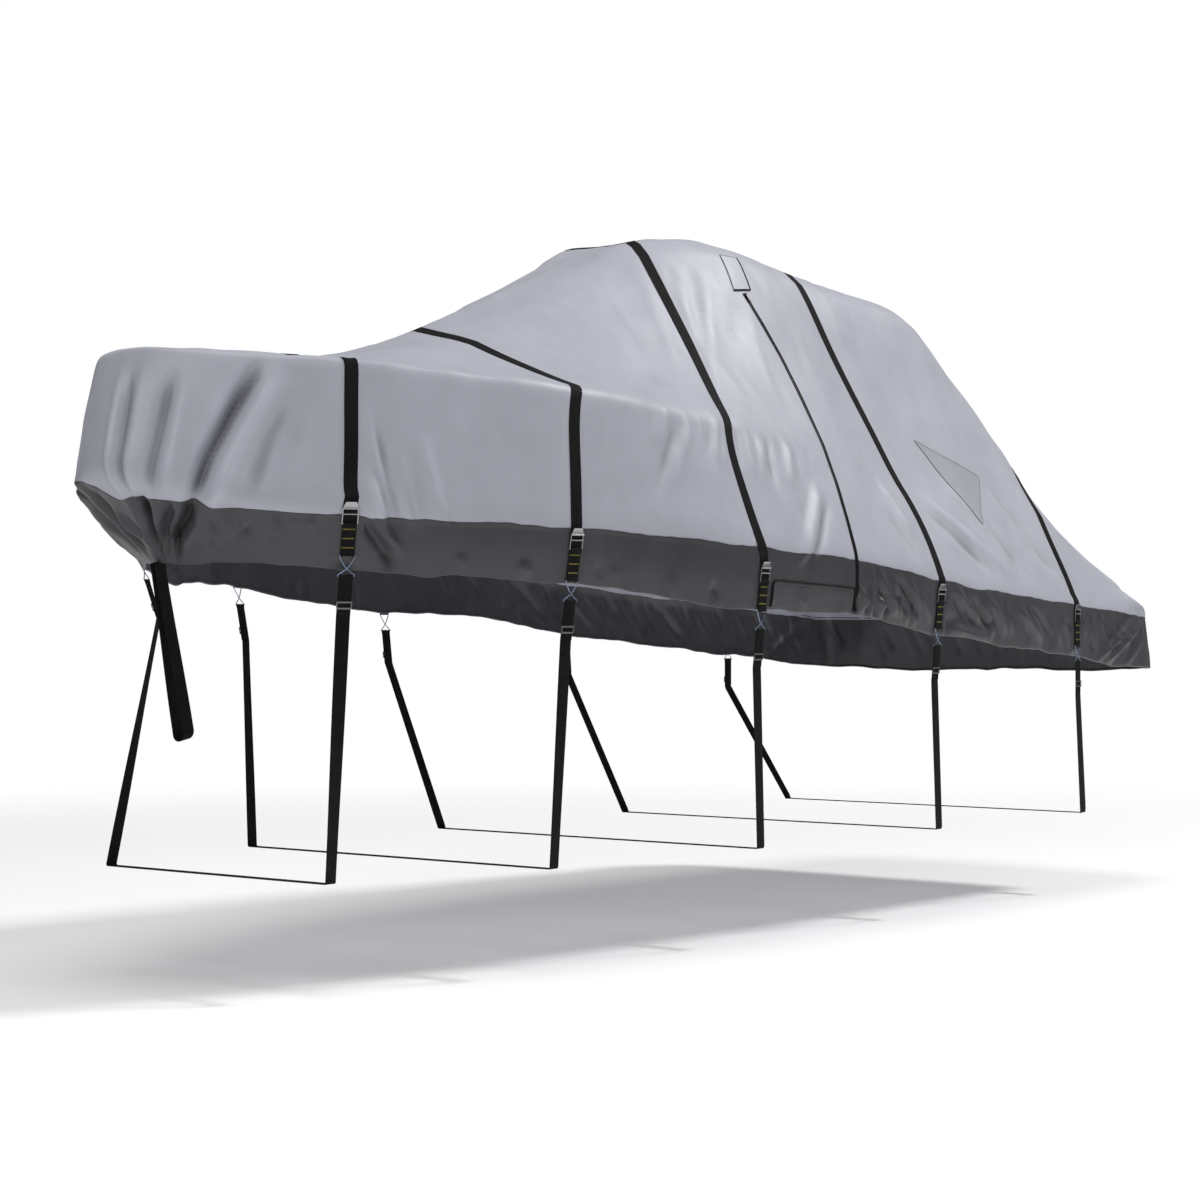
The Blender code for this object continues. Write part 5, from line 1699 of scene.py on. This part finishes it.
class BOATCOVER_OT_buckles(bpy.types.Operator):
    """Fit the cam buckles"""

    bl_idname = "boatcover.buckles"
    bl_label = "Cam Buckles"

    def execute(self, context):
        for_each_strap(add_buckles)
        return {"FINISHED"}


class BOATCOVER_OT_tabs(bpy.types.Operator):
    """Sew the webbing tabs to buckles and hooks"""

    bl_idname = "boatcover.tabs"
    bl_label = "Tabs"

    def execute(self, context):
        for_each_strap(add_tabs)
        return {"FINISHED"}


class BOATCOVER_OT_hooks(bpy.types.Operator):
    """Bend the wire hooks and fit the sliders below them"""

    bl_idname = "boatcover.hooks"
    bl_label = "Hooks and Sliders"

    def execute(self, context):
        for_each_strap(add_hooks, add_sliders)
        return {"FINISHED"}


class BOATCOVER_OT_zip(bpy.types.Operator):
    """Sew in the zip and its storm flap"""

    bl_idname = "boatcover.zip"
    bl_label = "Zip and Flap"

    def execute(self, context):
        add_zip()
        add_flap()
        return {"FINISHED"}


class BOATCOVER_OT_patches(bpy.types.Operator):
    """Sew on the two patches"""

    bl_idname = "boatcover.patches"
    bl_label = "Patches"

    def execute(self, context):
        add_band_patch()
        add_corner_patch()
        return {"FINISHED"}


class BOATCOVER_OT_bow_strap(bpy.types.Operator):
    """Hang the loop at the bow"""

    bl_idname = "boatcover.bow_strap"
    bl_label = "Bow Strap"

    def execute(self, context):
        add_bow_strap()
        return {"FINISHED"}


OPERATORS = (BOATCOVER_OT_stage, BOATCOVER_OT_canopy, BOATCOVER_OT_band, BOATCOVER_OT_straps,
             BOATCOVER_OT_buckles, BOATCOVER_OT_tabs, BOATCOVER_OT_hooks, BOATCOVER_OT_zip,
             BOATCOVER_OT_patches, BOATCOVER_OT_bow_strap)


class BOATCOVER_PT_panel(bpy.types.Panel):
    """Lists the cover's pieces, sizes and colours"""

    bl_label = "Boat Cover"
    bl_idname = "BOATCOVER_PT_panel"
    bl_space_type = "VIEW_3D"
    bl_region_type = "UI"
    bl_category = "Boat Cover"

    def draw(self, context):
        for group in (context.scene.boat_cover_sizes, context.scene.boat_cover_colours):
            for name in group.__annotations__:
                self.layout.prop(group, name)
        for made in OPERATORS:
            self.layout.operator(made.bl_idname)


CLASSES = (BoatCoverSizes, BoatCoverColours, *OPERATORS, BOATCOVER_PT_panel)


def register():
    """Make the classes known to Blender."""
    for made in CLASSES:
        bpy.utils.register_class(made)
    bpy.types.Scene.boat_cover_sizes = bpy.props.PointerProperty(type=BoatCoverSizes)
    bpy.types.Scene.boat_cover_colours = bpy.props.PointerProperty(type=BoatCoverColours)


def unregister():
    """Take the classes out again."""
    del bpy.types.Scene.boat_cover_sizes
    del bpy.types.Scene.boat_cover_colours
    for made in reversed(CLASSES):
        bpy.utils.unregister_class(made)


def main():
    """Build the cover and its stage."""
    register()
    for made in OPERATORS:
        group, name = made.bl_idname.split(".")
        getattr(getattr(bpy.ops, group), name)()


if __name__ == "__main__":
    main()
